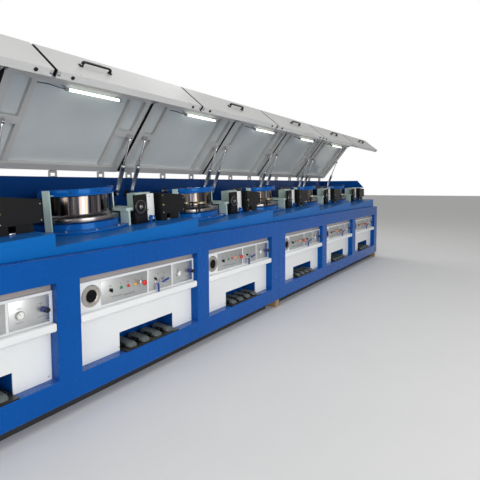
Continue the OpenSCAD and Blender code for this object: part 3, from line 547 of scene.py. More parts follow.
def chrome_finish():
    """Plated metal: noise drawn out along the axis gives painted reflections in the base colour,
    bands that run from dark through tan to bright, and the grinding marks go round."""
    values = {"Stretch": (2.5, 2.5, 420), "Lean": (0, -drum_lean, 0), "Roughness": 0.12, "Spread": 0.16}
    material = finish_from(metal_group, "drum_chrome", values, 0.00003, 1.0)
    tree = material.node_tree
    place = add(tree, "ShaderNodeTexCoord").outputs["Object"]
    upright = add(tree, "ShaderNodeMapping", {"Vector": place, "Rotation": (0, -drum_lean, 0),
                                              "Scale": (26, 26, 0.6)})
    reflection_streak = add(tree, "ShaderNodeTexNoise", {"Vector": upright.outputs[0], "Scale": 1.0, "Detail": 4.0,
                                              "Roughness": 0.6})
    # The ramp paints reflections into the base colour: the dark, tan and bright bands stand in for what the
    # chrome mirrors.
    tone = add(tree, "ShaderNodeValToRGB", {"Fac": reflection_streak.outputs["Fac"]})
    ramp = tone.color_ramp
    ramp.elements[0].position = 0.36
    ramp.elements[0].color = (0.030, 0.028, 0.032, 1)
    ramp.elements[1].position = 0.72
    ramp.elements[1].color = (0.850, 0.860, 0.900, 1)
    for place_on_ramp, colour in ((0.44, (0.100, 0.090, 0.100, 1)), (0.49, (0.150, 0.145, 0.160, 1)),
                                  (0.53, (0.300, 0.200, 0.120, 1)), (0.58, (0.180, 0.170, 0.175, 1)),
                                  (0.64, (0.330, 0.320, 0.330, 1))):
        ramp.elements.new(place_on_ramp).color = colour
    tree.links.new(tone.outputs[0], tree.nodes["Principled BSDF"].inputs["Base Color"])
    return material


def timber_finish():
    """Sawn timber: rings are a distorted wave across the beam, fibres are stretched noise."""
    material = bpy.data.materials.new("sawn_timber")
    material.use_nodes = True
    tree = material.node_tree
    shader = tree.nodes["Principled BSDF"]
    place = add(tree, "ShaderNodeTexCoord").outputs["Object"]
    grain = add(tree, "ShaderNodeMapping", {"Vector": place, "Scale": (60, 2.5, 60)})
    fibre = add(tree, "ShaderNodeTexNoise", {"Vector": grain.outputs[0], "Scale": 1.5, "Detail": 6.0})
    tone = add(tree, "ShaderNodeValToRGB", {"Fac": fibre.outputs["Fac"]})
    tone.color_ramp.elements[0].color = (0.20, 0.12, 0.06, 1)
    tone.color_ramp.elements[1].color = (0.46, 0.32, 0.18, 1)
    bump = add(tree, "ShaderNodeBump", {"Height": fibre.outputs["Fac"], "Distance": 0.001})
    tree.links.new(tone.outputs[0], shader.inputs["Base Color"])
    tree.links.new(bump.outputs[0], shader.inputs["Normal"])
    shader.inputs["Roughness"].default_value = 0.8
    return material


def lamp_finish():
    """A frosted lamp tube: slow noise varies its emission colour a little."""
    material = bpy.data.materials.new("lamp_glow")
    material.use_nodes = True
    tree = material.node_tree
    shader = tree.nodes["Principled BSDF"]
    place = add(tree, "ShaderNodeTexCoord").outputs["Object"]
    cloud = add(tree, "ShaderNodeTexNoise", {"Vector": place, "Scale": 8.0})
    tone = add(tree, "ShaderNodeValToRGB", {"Fac": cloud.outputs["Fac"]})
    tone.color_ramp.elements[0].color = (0.90, 0.93, 0.76, 1)
    tone.color_ramp.elements[1].color = (1.0, 1.0, 0.88, 1)
    tree.links.new(tone.outputs[0], shader.inputs["Emission Color"])
    shader.inputs["Emission Strength"].default_value = 2.2
    shader.inputs["Base Color"].default_value = (0.9, 0.9, 0.85, 1)
    shader.inputs["Roughness"].default_value = 0.4
    return material


drum_chrome = chrome_finish()
timber = timber_finish()
lamp_glow = lamp_finish()
print("materials:", len(bpy.data.materials))

# %% Floor
def make_floor(half=60.0):
    """A flat grid, plain and pale; it is stage, not part of the machine."""
    mesh = bpy.data.meshes.new("floor")
    corners = [(-half, -half, 0), (half, -half, 0), (half, half, 0), (-half, half, 0)]
    mesh.from_pydata(corners, [], [(0, 1, 2, 3)])
    mesh.materials.append(paint("pale_floor", (0.80, 0.80, 0.79), 0.55, 0.01, dust=0.0))
    floor = bpy.data.objects.new("floor", mesh)
    scene.collection.objects.link(floor)


make_floor()

# %% [markdown]
# ## Housing, table and wall
#
# The housing is folded and welded sheet under gloss paint. The CAD solids already have the right
# shape, so they are kept and only their knife edges are rounded, which gives the thin bright
# lines that run along every edge in the photograph.

# %% Housing, table, wall and skids
for node in ("bed_left", "bed_right"):
    soften(node, 0.005, housing_blue, arcs=3)
soften("tables", 0.004, table_blue)
soften("rear_walls", 0.004, wall_blue)
soften("end_guards", 0.001, housing_blue)
soften("base_skids", 0.004, skid_black)
soften("packing_blocks", 0.005, timber)
soften("rear_panels", 0.003, panel_white)
soften("kick_panels", 0.0015, panel_white)
soften("hinge_brackets", 0.0012, bolt_steel)
soften("strut_brackets", 0.0012, plastic_black)
soften("die_stands", 0.003, stand_mint)
soften("soap_boxes", 0.003, box_black)
soften("pedal_plates", 0.002, plastic_black)
for k in range(1, bays + 1):
    soften(f"lid_{k}", 0.002, lid_white)

# %% [markdown]
# ## Drums
#
# A drawing drum is a hardened, plated casting that is ground all over: a working face with a
# slight taper, a fillet that gathers the wire, and a wide flange with a groove turned in its
# edge. Turning is the natural way to make it: one profile of radius and height goes round an
# axis. The ring is then laid on its leaning table.

# %% Drum faces and flanges
def hex_bolt(place, axis, across=0.016, length=0.007):
    """A washer and a six-sided head; the head is a turned form with six steps."""
    r = across / 2
    washer = turned([(r * 1.5, 0), (r * 1.5, 0.0018), (r * 1.3, 0.0024)], place, axis, 20)
    lift = np.array(place) + np.array(axis) * 0.0022
    head = turned([(r * 1.08, 0), (r * 1.1, length * 0.8), (r * 0.9, length)], lift, axis, 6)
    return [washer, head]


def cap_screw(place, axis, r=0.0045, length=0.004):
    """A small round screw head with a shallow socket in its face."""
    profile = [(r * 0.9, 0), (r, length * 0.3), (r, length * 0.8), (r * 0.85, length),
               (r * 0.5, length), (r * 0.45, length * 0.45), (r * 0.1, length * 0.4)]
    return turned(profile, place, axis, 14)


def hoop(profile, place=(0, 0, 0), axis=(0, 0, 1), steps=64):
    """A ring: a closed outline of (r, h) turned about the axis, joined to itself both ways."""
    r, h = np.array(profile, float).T
    t = np.linspace(0, 2 * np.pi, steps, endpoint=False)
    rings = np.stack([np.outer(np.cos(t), r), np.outer(np.sin(t), r), np.outer(np.ones(steps), h)], -1)
    turn = np.array(Vector((0, 0, 1)).rotation_difference(Vector(axis)).to_matrix())
    points = (rings @ turn.T + np.array(place)).reshape(-1, 3)
    i, j = np.meshgrid(np.arange(steps), np.arange(len(r)), indexing="ij")
    u, v = (i + 1) % steps, (j + 1) % len(r)
    quads = np.stack([i * len(r) + j, i * len(r) + v, u * len(r) + v, u * len(r) + j], -1)
    return points, quads.reshape(-1, 4).tolist()


drum_face = [(0.250, 0.050), (0.3015, 0.050), (0.3000, 0.066), (0.2955, 0.238), (0.2940, 0.2445),
             (0.2890, 0.2478), (0.2810, 0.2470), (0.2765, 0.2420), (0.2750, 0.2360), (0.150, 0.2355)]
drum_hub = [(0.160, 0.230), (0.150, 0.2375), (0.078, 0.2400), (0.072, 0.2480), (0.066, 0.2500),
            (0.030, 0.2505)]
flange = [(0.060, 0.0), (0.3780, 0.0), (0.3835, 0.0020), (0.3850, 0.0060), (0.3850, 0.0120),
          (0.3815, 0.0140), (0.3815, 0.0180), (0.3850, 0.0200), (0.3850, 0.0345), (0.3825, 0.0385),
          (0.3760, 0.0400), (0.3350, 0.0415), (0.3200, 0.0450), (0.3090, 0.0510), (0.3015, 0.0610),
          (0.2900, 0.0610)]
hub_bolts, bolt_circle, bolt_seat = 6, 0.112, 0.2385
upward = (0, 0, 1)


def hub_bolt_shapes():
    """Six bolts on a circle in the hub's face: bolt k stands at angle 2 pi k / 6."""
    shapes = []
    for t in np.arange(hub_bolts) * 2 * np.pi / hub_bolts:
        place = (bolt_circle * math.cos(t), bolt_circle * math.sin(t), bolt_seat)
        shapes += hex_bolt(place, upward, 0.024, 0.010)
    return shapes


for i in range(bays):
    body = f"drum_{i + 1}"
    ground = [turned(drum_face, steps=160), turned(drum_hub, steps=64)]
    rim = [turned(flange, steps=160)]
    parts = (("face", ground, drum_chrome, [body]), ("flange", rim, flange_steel, ()),
             ("bolts", hub_bolt_shapes(), bolt_steel, ()))
    for part, shapes, finish, stands_for in parts:
        shapes = [on_drum(shape, i) for shape in shapes]
        make_piece(f"{body}_{part}", shapes, body, finish, stands_for)
print("drums:", bays, "each with", hub_bolts, "hub bolts")

# %% [markdown]
# ## Collars, bases and hood bands
#
# Under each drum a blue collar stands on a round plate that is bolted flat on the leaning table.
# The plate is cut straight where it meets the rear wall, which is a minimum on the depths. Round
# the drum's top a blue band runs on the operator's side only.

# %% Collars and base plates
base_plate = [(0.100, 0.0), (0.468, 0.0), (0.470, 0.003), (0.470, 0.014), (0.4685, 0.0175),
              (0.464, 0.0200), (0.370, 0.0203)]
collar = [(0.300, -0.0785), (0.378, -0.0785), (0.378, -0.030), (0.3765, -0.0265), (0.3765, -0.0120),
          (0.3745, -0.0085), (0.3690, -0.0060), (0.060, -0.0060)]
base_bolt_circle, base_bolt_seat = 0.448, 0.0198
bases, collars, base_bolts = [], [], []
for i in range(bays):
    points, faces = on_deck(turned(base_plate, (0, drum_depth, 0), steps=160), i)
    points[:, 1] = np.minimum(points[:, 1], front + wall_depth - 0.0006)
    bases.append((points, faces))
    collars.append(on_drum(turned(collar, steps=160), i))
    for t in np.radians(np.arange(-165, 0, 30)):
        x, y = base_bolt_circle * math.cos(t), base_bolt_circle * math.sin(t)
        bolt = hex_bolt((x, drum_depth + y, base_bolt_seat), upward, 0.018, 0.008)
        base_bolts += [on_deck(shape, i) for shape in bolt]
make_piece("drum_base_plates", bases, "machine", collar_blue, ["drum_bases"])
make_piece("drum_collars", collars, "machine", collar_blue)
make_piece("drum_base_bolts", base_bolts, "machine", bolt_steel)


# %% Hood bands
def round_band(r, z, outline, first, last, steps=72):
    """Carries an outline round an arc: x = (r + a) cos t, y = (r + a) sin t, z = z + b."""
    t = np.radians(np.linspace(first, last, steps))[:, None]
    out, up = r + outline[:, 0], z + outline[:, 1]
    return loft(np.stack([out * np.cos(t), out * np.sin(t), np.broadcast_to(up, (steps, len(up)))], -1))


hood_r, hood_wall, hood_low, hood_high = 0.340, 0.006, 0.217, 0.057
hood_first, hood_last = 188, 352
hood_screws = (196, 232, 270, 308, 343)
hood_middle, hood_outer = hood_low + hood_high / 2, hood_r + hood_wall
band_outline, lip_outline = soft_rectangle(hood_wall, hood_high, 0.002), soft_rectangle(0.004, 0.008, 0.0015)
band_shapes = [round_band(hood_r + hood_wall / 2, hood_middle, band_outline, hood_first, hood_last)]
for z in (hood_low + 0.004, hood_low + hood_high - 0.004):
    band_shapes.append(round_band(hood_outer + 0.001, z, lip_outline, hood_first, hood_last))
bands, band_bolts = [], []
for i in range(bays):
    bands += [on_drum(shape, i) for shape in band_shapes]
    for t in np.radians(hood_screws):
        out = np.array([math.cos(t), math.sin(t), 0])
        place = out * hood_outer + [0, 0, hood_middle]
        band_bolts.append(on_drum(cap_screw(place, out, 0.006, 0.004), i))
make_piece("hood_bands", bands, "machine", collar_blue, ["drum_hoods"])
make_piece("hood_band_screws", band_bolts, "machine", plastic_black)
soften("hood_posts", 0.002, stand_mint)
print("hood bands span", hood_last - hood_first, "degrees")

# %% [markdown]
# ## Die stands
#
# The wire comes in over two level guide pulleys, passes the soap box and the die, and leaves
# behind a black guide disc. These parts are cast and machined, so they are turned forms and
# blocks with round edges, drawn on a level table and then laid on the leaning one. The first drum
# passes its wire straight on, so no guide pulleys stand between the first two drums.

# %% Guide discs, strips and valves
front_axis = (0, -1, 0)
guide_low, guide_high, guide_depth = 0.312, 0.462, 0.366
die_high = 0.264
disc_profile = [(0.062, 0), (0.062, 0.004), (0.058, 0.007), (0.058, 0.012), (0.062, 0.015), (0.0605, 0.018),
                (0.050, 0.0172), (0.030, 0.0150), (0.028, 0.0200), (0.010, 0.0205)]
rim_profile = [(0.0545, 0.0165), (0.0560, 0.0188), (0.0595, 0.0190), (0.0612, 0.0170)]
disc_centre = (0.365, guide_depth, 0.156)
stem_profile = [(0.020, 0), (0.020, 0.006), (0.012, 0.008), (0.012, 0.030), (0.017, 0.034), (0.017, 0.050),
                (0.010, 0.054), (0.010, 0.066), (0.004, 0.068)]
valve_x, valve_depth = 0.480, 0.348


def guide_plate():
    """The black plate, the block behind it and a small cover on its face."""
    return [block((guide_low, guide_depth, 0), (guide_high, 0.390, die_high), 0.004),
            block((guide_low, 0.389, 0), (0.452, 0.545, 0.1017), 0.004),
            block((guide_low + 0.012, guide_depth - 0.004, 0.012),
                  (guide_high - 0.012, guide_depth + 0.001, 0.075), 0.003)]


def water_valve():
    """A stem with a hand lever that hangs down to the right."""
    x, y = valve_x, valve_depth - 0.022
    lever = rounded_path([(x, y, 0.058), (x + 0.024, y, 0.060), (x + 0.036, y, 0.012)], 0.010)
    return [turned(stem_profile, (valve_x, valve_depth, 0), (0, 0, 1), 24),
            swept(lever, oval(0.012, 0.006, 10), (0, 1, 0)),
            block((x - 0.006, y - 0.004, 0.050), (x + 0.006, y + 0.015, 0.064), 0.002)]


def lay(shapes):
    """The same shapes on the table of every bay."""
    return [on_deck(shape, i) for i in range(bays) for shape in shapes]


strip_face, strip_x = guide_depth - 0.0012, 0.492
strip = block((0.4616, strip_face, 0.0212), (0.5488, 0.4498, die_high + 0.0008), 0.003)
strip_screws = [cap_screw((strip_x, strip_face, z), front_axis, 0.006, 0.004) for z in (0.046, 0.240)]
wheel = turned(disc_profile, disc_centre, front_axis, 64)
wheel_rim = hoop(rim_profile, disc_centre, front_axis, 64)
knobs = [turned([(0.008, 0), (0.008, 0.006), (0.0055, 0.008), (0.0055, 0.014), (0.0035, 0.016)],
                (0.456, guide_depth, 0.120), front_axis, 20)]
hub = hex_bolt((disc_centre[0], guide_depth - 0.0200, disc_centre[2]), front_axis, 0.022, 0.012)
make_piece("guide_disc_plates", lay(guide_plate()), "machine", box_black, ["guide_discs"])
make_piece("guide_disc_wheels", lay([wheel]), "machine", plastic_black)
make_piece("guide_disc_rims", lay([wheel_rim]), "machine", flange_steel)
make_piece("guide_disc_hubs", lay(hub), "machine", bolt_steel)
make_piece("die_strips", lay([strip]), "machine", strip_white)
make_piece("die_strip_screws", lay(strip_screws), "machine", bolt_steel)
make_piece("oil_knobs", lay(knobs), "machine", brass)
make_piece("water_valves", lay(water_valve()), "machine", collar_blue)

# %% Soap boxes
box_left, box_right, box_near, box_far = 0.590, 0.905, 0.300, 0.600
box_high, box_end = 0.263, 0.220
chamfer = 0.012
slope = (box_high - box_end) / (box_right - box_left)


def box_rim(y):
    """A folded edge along the sloping top and down the chamfer."""
    path = [(box_left - 0.001, y, box_high), (box_right - chamfer, y, box_end + chamfer * slope),
            (box_right + 0.001, y, box_end - chamfer)]
    return swept(path, soft_rectangle(0.005, 0.004, 0.001), (0, 1, 0))


def end_rim(x, z):
    """The folded edge across an end of the box."""
    return swept([(x, box_near, z), (x, box_far, z)], soft_rectangle(0.005, 0.004, 0.001), (1, 0, 0))


box_rims = [box_rim(box_near + 0.001), box_rim(box_far - 0.001), end_rim(box_left + 0.001, box_high),
            end_rim(box_right - 0.001, box_end - chamfer)]
box_screws = [cap_screw((x, box_near, z), front_axis, 0.005, 0.003)
              for x, high in ((box_left + 0.014, 0.240), (box_right - 0.016, 0.192)) for z in (0.078, high)]
latch = [turned([(0.009, 0), (0.009, 0.004), (0.006, 0.007), (0.006, 0.013), (0.003, 0.014)],
                (box_left + 0.012, box_near, 0.150), front_axis, 20)]
drip_tray = [block((box_left + 0.078, 0.318, 0.0), (box_left + 0.122, 0.560, 0.012), 0.003)]
make_piece("soap_box_rims", lay(box_rims), "machine", box_black)
make_piece("soap_box_screws", lay(box_screws), "machine", bolt_steel)
make_piece("soap_box_latches", lay(latch), "machine", brass)
make_piece("drip_trays", lay(drip_tray), "machine", tube_alloy)

# %% Guide pulleys
wire_depth = 0.500
wire_high = deck_axis + 0.585 * math.sin(drum_lean) + 0.144 * math.cos(drum_lean)
first_pulley_bay = 1
pulley_places = ((0.352, wire_depth + 0.042, 0.046, 0.009), (0.453, wire_depth - 0.072, 0.076, 0.014))
bar_low = wire_high - 0.038
box_end_at_bar = (box_right - (bar_low - deck_axis) * math.sin(drum_lean)) / math.cos(drum_lean)
bar_start = drum_x + box_end_at_bar + 0.0003
pulleys, pulley_posts = [], []
for i in range(first_pulley_bay, bays - 1):
    for dx, depth, r, shaft_r in pulley_places:
        centre = (bay_left[i] + bay_pitch + dx, front + depth, wire_high)
        sheave = [(r * 0.3, -0.009), (r - 0.001, -0.009), (r, -0.008), (r, -0.006), (r - 0.005, 0),
                  (r, 0.006), (r, 0.008), (r - 0.001, 0.009), (r * 0.3, 0.009)]
        pulleys.append(turned(sheave, centre, upward, 64))
        shaft = [(shaft_r - 0.003, -0.112), (shaft_r, -0.109), (shaft_r, -0.045), (shaft_r + 0.005, -0.044),
                 (shaft_r + 0.005, -0.018), (shaft_r + 0.002, -0.016), (shaft_r + 0.002, -0.0085)]
        pulley_posts.append(turned(shaft, centre, upward, 24))
        cap = [(shaft_r + 0.003, 0.0085), (shaft_r + 0.003, 0.0115), (shaft_r - 0.002, 0.0138)]
        pulley_posts.append(turned(cap, centre, upward, 24))
        low = (bay_left[i] + bar_start, front + depth - 0.012, bar_low)
        high = (bay_left[i] + bay_pitch + dx + 0.012, front + depth + 0.012, bar_low + 0.012)
        pulley_posts.append(block(low, high, 0.002))
make_piece("pulley_wheels", pulleys, "machine", pulley_brass, ["guide_pulleys"])
make_piece("pulley_shafts", pulley_posts, "machine", plastic_black)
print("die stands dressed:", bays)

# %% [markdown]
# ## The control windows
#
# Each window has a white sheet panel behind a header strip whose dark taupe is painted shade under the
# window head, with three alloy plates. Buttons, levers and gauges are the parts a visitor looks at first, so
# each gets its own turned profile. The printed legends are left as plain bars, without any lettering.

# %% Panels, ledges and plates
face_depth = panel_depth - 0.004
header_depth = panel_depth + 0.012
plates = ((0.2060, 0.4639), (0.6889, 0.2745), (0.9824, 0.2635))
plate_low, plate_high = ledge_high + 0.014, ledge_high + 0.194
side_gap = 0.001
screw_in = 0.010


def window_block(i, across, depth, height, edge=0.001, arcs=2):
    """A rounded block in window i: across counts from its left side, depth from the front face."""
    low = (window_left[i] + across[0], front + depth[0], height[0])
    high = (window_left[i] + across[1], front + depth[1], height[1])
    return block(low, high, edge, arcs)


white_panels, headers, ledges, alloy, plate_screws = [], [], [], [], []
for i in range(bays):
    whole = (side_gap, window_w - side_gap)
    header_low = window_head - header_high
    white_panels.append(window_block(i, whole, (panel_depth, recess), (ledge_high, header_low)))
    headers.append(window_block(i, whole, (header_depth, recess), (header_low, window_head)))
    ledges.append(window_block(i, whole, (0.002, recess), (ledge_low, ledge_high), 0.012, 4))
    for left, w in plates:
        place = (left, left + w), (face_depth, panel_depth), (plate_low, plate_high)
        alloy.append(window_block(i, *place, 0.0012))
        for x in (left + screw_in, left + w - screw_in):
            for z in (plate_low + screw_in, plate_high - screw_in):
                place = (window_left[i] + x, front + face_depth, z)
                plate_screws.append(cap_screw(place, front_axis, 0.0032, 0.002))
make_piece("panel_sheets", white_panels, "machine", panel_white, ["control_panels"])
make_piece("panel_headers", headers, "machine", header_shade_taupe)
make_piece("ledge_covers", ledges, "machine", panel_white, ["ledges"])
make_piece("alloy_plates", alloy, "machine", plate_alloy, ["instrument_plates"])
make_piece("plate_screws", plate_screws, "machine", bolt_steel)

# %% Buttons and selectors
row_z = ledge_high + 0.112
selector_x, start_x, stop_x, jog_x, emergency_x, mode_x = 0.290, 0.391, 0.463, 0.532, 0.613, 0.754
lever_x, gauge_x, regulator_x = (0.772, 0.838), 1.046, 1.208
bezel = [(0.0150, 0), (0.0150, 0.0020), (0.0138, 0.0040), (0.0115, 0.0045)]
button = [(0.0112, 0.0), (0.0112, 0.0085), (0.0104, 0.0105), (0.0050, 0.0112)]
emergency_base = [(0.024, 0), (0.024, 0.003), (0.017, 0.006), (0.015, 0.016)]
mushroom = [(0.0140, 0), (0.0140, 0.0130), (0.0205, 0.0150), (0.0225, 0.0190), (0.0218, 0.0245),
            (0.0165, 0.0290), (0.0040, 0.0305)]
legends = [(selector_x, 0.030), (start_x, 0.018), (stop_x, 0.018), (jog_x, 0.018), (emergency_x, 0.024),
           (0.790, 0.020), (0.870, 0.020), (gauge_x, 0.034), (1.190, 0.030)]
low_bars = [(0.340, 0.120, -0.052), (0.420, 0.230, -0.060), (0.480, 0.110, -0.068), (0.790, 0.060, -0.052),
            (0.890, 0.050, -0.056), (gauge_x, 0.050, -0.056), (1.190, 0.060, -0.052)]
greens, reds, yellows, bezels, blacks, blues, dials, marks = [], [], [], [], [], [], [], []


def on_plate(i, x, dz=0.0, out=0.0):
    """A point on the plates of bay i: x from the window's left side, dz above the switch row."""
    return np.array([window_left[i] + x, front + face_depth - out, row_z + dz])


def knob(profile, i, x, dz=0.0, out=0.0, steps=28):
    """A turned part that faces the operator."""
    return turned(profile, on_plate(i, x, dz, out), front_axis, steps)


def bar_mark(i, x, dz, w, h=0.0022):
    """A short printed bar that stands for a legend; it stands 0.2 mm proud of the plate."""
    half = np.array([w / 2, 0.0002, h / 2])
    return block(on_plate(i, x, dz) - half, on_plate(i, x, dz) + half, 0.0001, 1)


for i in range(bays):
    bezels += [knob(bezel, i, x) for x in (selector_x, start_x, stop_x, jog_x, mode_x)]
    greens.append(knob(button, i, start_x, out=0.003))
    reds.append(knob(button, i, stop_x, out=0.003))
    yellows.append(knob(button, i, jog_x, out=0.003))
    bezels.append(knob(emergency_base, i, emergency_x, -0.004, steps=32))
    reds.append(knob(mushroom, i, emergency_x, -0.004, 0.010, 36))
    for x, size in ((selector_x, 0.015), (mode_x, 0.011)):
        blacks.append(knob([(size * 0.8, 0), (size * 0.8, 0.008), (size * 0.7, 0.010)], i, x, 0, 0.004, 24))
        centre = on_plate(i, x, out=0.004)
        low, high = [-size * 0.28, -0.024, -size], [size * 0.28, -0.009, size]
        blacks.append(block(centre + low, centre + high, 0.002))
    for x, w in legends:
        marks.append(bar_mark(i, x, 0.034, w))
        marks.append(bar_mark(i, x, 0.028, w * 0.6, 0.0016))
    marks += [bar_mark(i, x, dz, w, 0.0018) for x, w, dz in low_bars]

# %% Levers, gauge and regulator
valve_body = [(0.016, 0), (0.016, 0.006), (0.010, 0.008), (0.010, 0.024), (0.006, 0.026)]
gauge_case = [(0.026, 0), (0.027, 0.003), (0.027, 0.018), (0.0255, 0.021), (0.0225, 0.021),
              (0.0222, 0.0175)]
regulator_neck = [(0.012, 0), (0.012, 0.008), (0.0195, 0.010), (0.0195, 0.026), (0.016, 0.029)]
regulator_grip = [(0.0150, 0.028), (0.0165, 0.030), (0.0165, 0.048), (0.0140, 0.051), (0.004, 0.0515)]
hanging_way = np.array([[0, 0, 0], [0.002, -0.006, -0.022], [0.002, -0.006, -0.092]])
raised_way = np.array([[-0.012, 0, -0.004], [0.014, -0.004, 0.002], [0.062, -0.006, 0.014]])
needle_way = np.array([[0.0, -0.0186, 0.0], [-0.006, -0.0186, 0.008], [-0.011, -0.0186, 0.0145]])
for i in range(bays):
    bezels += [knob(valve_body, i, x, -0.034, steps=24) for x in lever_x]
    for x, way, up in ((lever_x[0], hanging_way, (1, 0, 0)), (lever_x[1], raised_way, (0, 1, 0))):
        path = rounded_path(on_plate(i, x, -0.034, 0.020) + way, 0.008)
        blues.append(swept(path, oval(0.018, 0.011, 14), up))
    bezels.append(knob(gauge_case, i, gauge_x, -0.008, steps=40))
    dials.append(knob([(0.0223, 0.0160), (0.0223, 0.0176), (0.004, 0.0178)], i, gauge_x, -0.008, steps=40))
    case = on_plate(i, gauge_x, -0.008)
    for t in np.radians(np.arange(-225, 46, 27)):
        tick = case + [0.0180 * math.cos(t), -0.0180, 0.0180 * math.sin(t)]
        marks.append(turned([(0.0009, 0), (0.0009, 0.0004)], tick, front_axis, 8))
    blacks.append(swept(case + needle_way, oval(0.0016, 0.0008, 8), (0, 1, 0)))
    blues.append(knob(regulator_neck, i, regulator_x, -0.010, steps=32))
    blacks.append(knob(regulator_grip, i, regulator_x, -0.010, steps=18))
make_piece("button_bezels", bezels, "machine", bolt_steel, ["panel_controls"])
make_piece("start_buttons", greens, "machine", button_green)
make_piece("stop_buttons", reds, "machine", button_red)
make_piece("jog_buttons", yellows, "machine", button_yellow)
make_piece("selector_knobs", blacks, "machine", plastic_black)
make_piece("air_levers", blues, "machine", lever_blue)
make_piece("gauge_dials", dials, "machine", dial_white)
make_piece("plate_marks", marks, "machine", plastic_black)
print("control windows dressed:", bays)

# %% Vent rings and sheet screws
ring_profile = [(0.078, 0), (0.080, 0.002), (0.080, 0.006), (0.076, 0.0095), (0.050, 0.0100),
                (0.0465, 0.0085), (0.0455, 0.0010)]
ripple = ((0, 0.0012), (0.0012, 0.0034), (0.0026, 0.0034), (0.0036, 0.0012))
ripples = [(r - drop, h) for r in np.arange(0.0452, 0.006, -0.0045) for drop, h in ripple]
back_axis = (0, 1, 0)
rings, ring_screws, meshes, sheet_screws = [], [], [], []


def sheet_screw(i, x, depth, z, axis, r, length):
    """A cap screw in window i: x from its left side, depth from the front face."""
    return cap_screw((window_left[i] + x, front + depth, z), axis, r, length)


for i in range(bays):
    centre = (window_left[i] + 0.119, front + panel_depth, ledge_high + 0.105)
    rings.append(turned(ring_profile, centre, front_axis, 72))
    for t in np.radians([45, 135, 225, 315]):
        place = (centre[0] + 0.063 * math.cos(t), centre[1] - 0.0095, centre[2] + 0.063 * math.sin(t))
        ring_screws.append(cap_screw(place, front_axis, 0.0048, 0.003))
    meshes.append(turned(ripples, centre, front_axis, 48))
    for x in (0.030, window_w / 2 - 0.25, window_w - 0.030):
        for z in (sill + 0.030, ledge_low - 0.025):
            sheet_screws.append(sheet_screw(i, x, recess - 0.008, z, front_axis, 0.0045, 0.0025))
    for x in (0.16, window_w - 0.16):
        sheet_screws.append(sheet_screw(i, x, header_depth, window_head - 0.012, front_axis, 0.005, 0.003))
    for x in (0.03, window_w / 2, window_w - 0.03):
        for z in (sill + 0.03, window_head - 0.03):
            sheet_screws.append(sheet_screw(i, x, bed_depth - 0.020, z, back_axis, 0.006, 0.003))
make_piece("vent_ring_faces", rings, "machine", ring_alloy, ["vent_rings"])
make_piece("vent_ring_screws", ring_screws, "machine", bolt_steel)
make_piece("vent_grilles", meshes, "machine", rubber_black)
make_piece("sheet_screws", sheet_screws, "machine", bolt_steel)

# %% [markdown]
# ## Foot pedals
#
# A pedal is a cast shoe: it starts in a round nose, widens at once and climbs towards the heel,
# with a crowned top. So it is a row of superellipse sections along the depth, whose width and
# height follow two formulas, sunk a little into its base.

# %% Foot pedals
pedal_pitch, pedal_w, niche_x, niche_w = 0.142, 0.104, 0.398, 0.610
pedal_base = sill + 0.010


def pedal_shoe(x):
    """Sections along s from nose to heel: at the nose the width is w (1 - (1 - s / 0.25)^2)^0.5,
    and the top rises with s."""
    s = np.linspace(0, 1, 22)
    nose = np.sqrt(1 - np.clip(1 - s / 0.25, 0, 1) ** 2) * 0.98 + 0.02
    depth = 0.024 + 0.180 * s
    top = 0.012 + 0.022 * nose + 0.012 * s
    t = np.linspace(0, 2 * np.pi, 28, endpoint=False)
    c, u = np.cos(t), np.sin(t)
    across = np.sign(c) * abs(c) ** 0.45
    up = np.where(u > 0, abs(u) ** 0.8, -abs(u) ** 0.35)
    width = (pedal_w / 2 - 0.008) * (0.72 + 0.28 * nose)
    px = x + width[:, None] * across
    py = np.repeat(front + depth[:, None], len(t), 1)
    height = np.where(up > 0, top[:, None] - 0.010, 0.008) * up + 0.010
    return loft(np.stack([px, py, pedal_base + np.broadcast_to(height, px.shape)], -1))


def pedal_block(x, half, depth, height, edge):
    """A rounded block of a pedal's base: x is its middle, depth and height are spans."""
    low = (x - half, front + depth[0], pedal_base)
    high = (x + half, front + depth[1], pedal_base + height)
    return block(low, high, edge)


shoes, shoe_feet, shoe_pins = [], [], []
pin_profile = [(0.009, 0), (0.009, 0.003), (0.006, 0.0045)]
for i in range(bays):
    for k in range(4):
        x = window_left[i] + niche_x + niche_w / 2 + (k - 1.5) * pedal_pitch
        shoes.append(pedal_shoe(x))
        shoe_feet.append(pedal_block(x, pedal_w / 2, (0.045, 0.206), 0.014, 0.003))
        for side in (-1, 1):
            shoe_feet.append(pedal_block(x + side * 0.048, 0.0035, (0.070, 0.150), 0.034, 0.002))
            pin = (x + side * 0.0515, front + 0.110, pedal_base + 0.020)
            shoe_pins.append(turned(pin_profile, pin, (side, 0, 0), 16))
make_piece("pedal_shoes", shoes, "machine", pedal_green, ["foot_pedals"])
make_piece("pedal_feet", shoe_feet, "machine", plastic_black)
make_piece("pedal_pins", shoe_pins, "machine", bolt_steel)
print("pedals:", len(shoes))

# %% [markdown]
# ## Lids
#
# The lids are drawn shut, where their sizes are easy to state, and then turned open about the
# hinge with one rotation. Between the ribs a thin glossy lining sheet bulges by a millimetre or
# two, which is what bends the reflections on the real sheet. Rubber strips run down both ends.

# %% Opening a lid
hinge_depth, hinge_high, lid_open = 1.255, 1.695, math.radians(51)
lid_top, lid_rear, lid_bend, lip_out, lip_top, lip_low = 1.722, 1.222, 0.245, 0.004, 1.452, 1.104
lid_gap, rail_w, rib_x, rib_w = 0.014, 0.070, 0.260, 0.045


def opened(shape):
    """Turns a shape drawn on the shut lid by the open angle about the hinge line."""
    points, faces = shape
    y, z = points[:, 1] - front - hinge_depth, points[:, 2] - hinge_high
    c, s = math.cos(lid_open), math.sin(lid_open)
    turned_y = front + hinge_depth + c * y + s * z
    turned_z = hinge_high - s * y + c * z
    return np.stack([points[:, 0], turned_y, turned_z], -1), faces


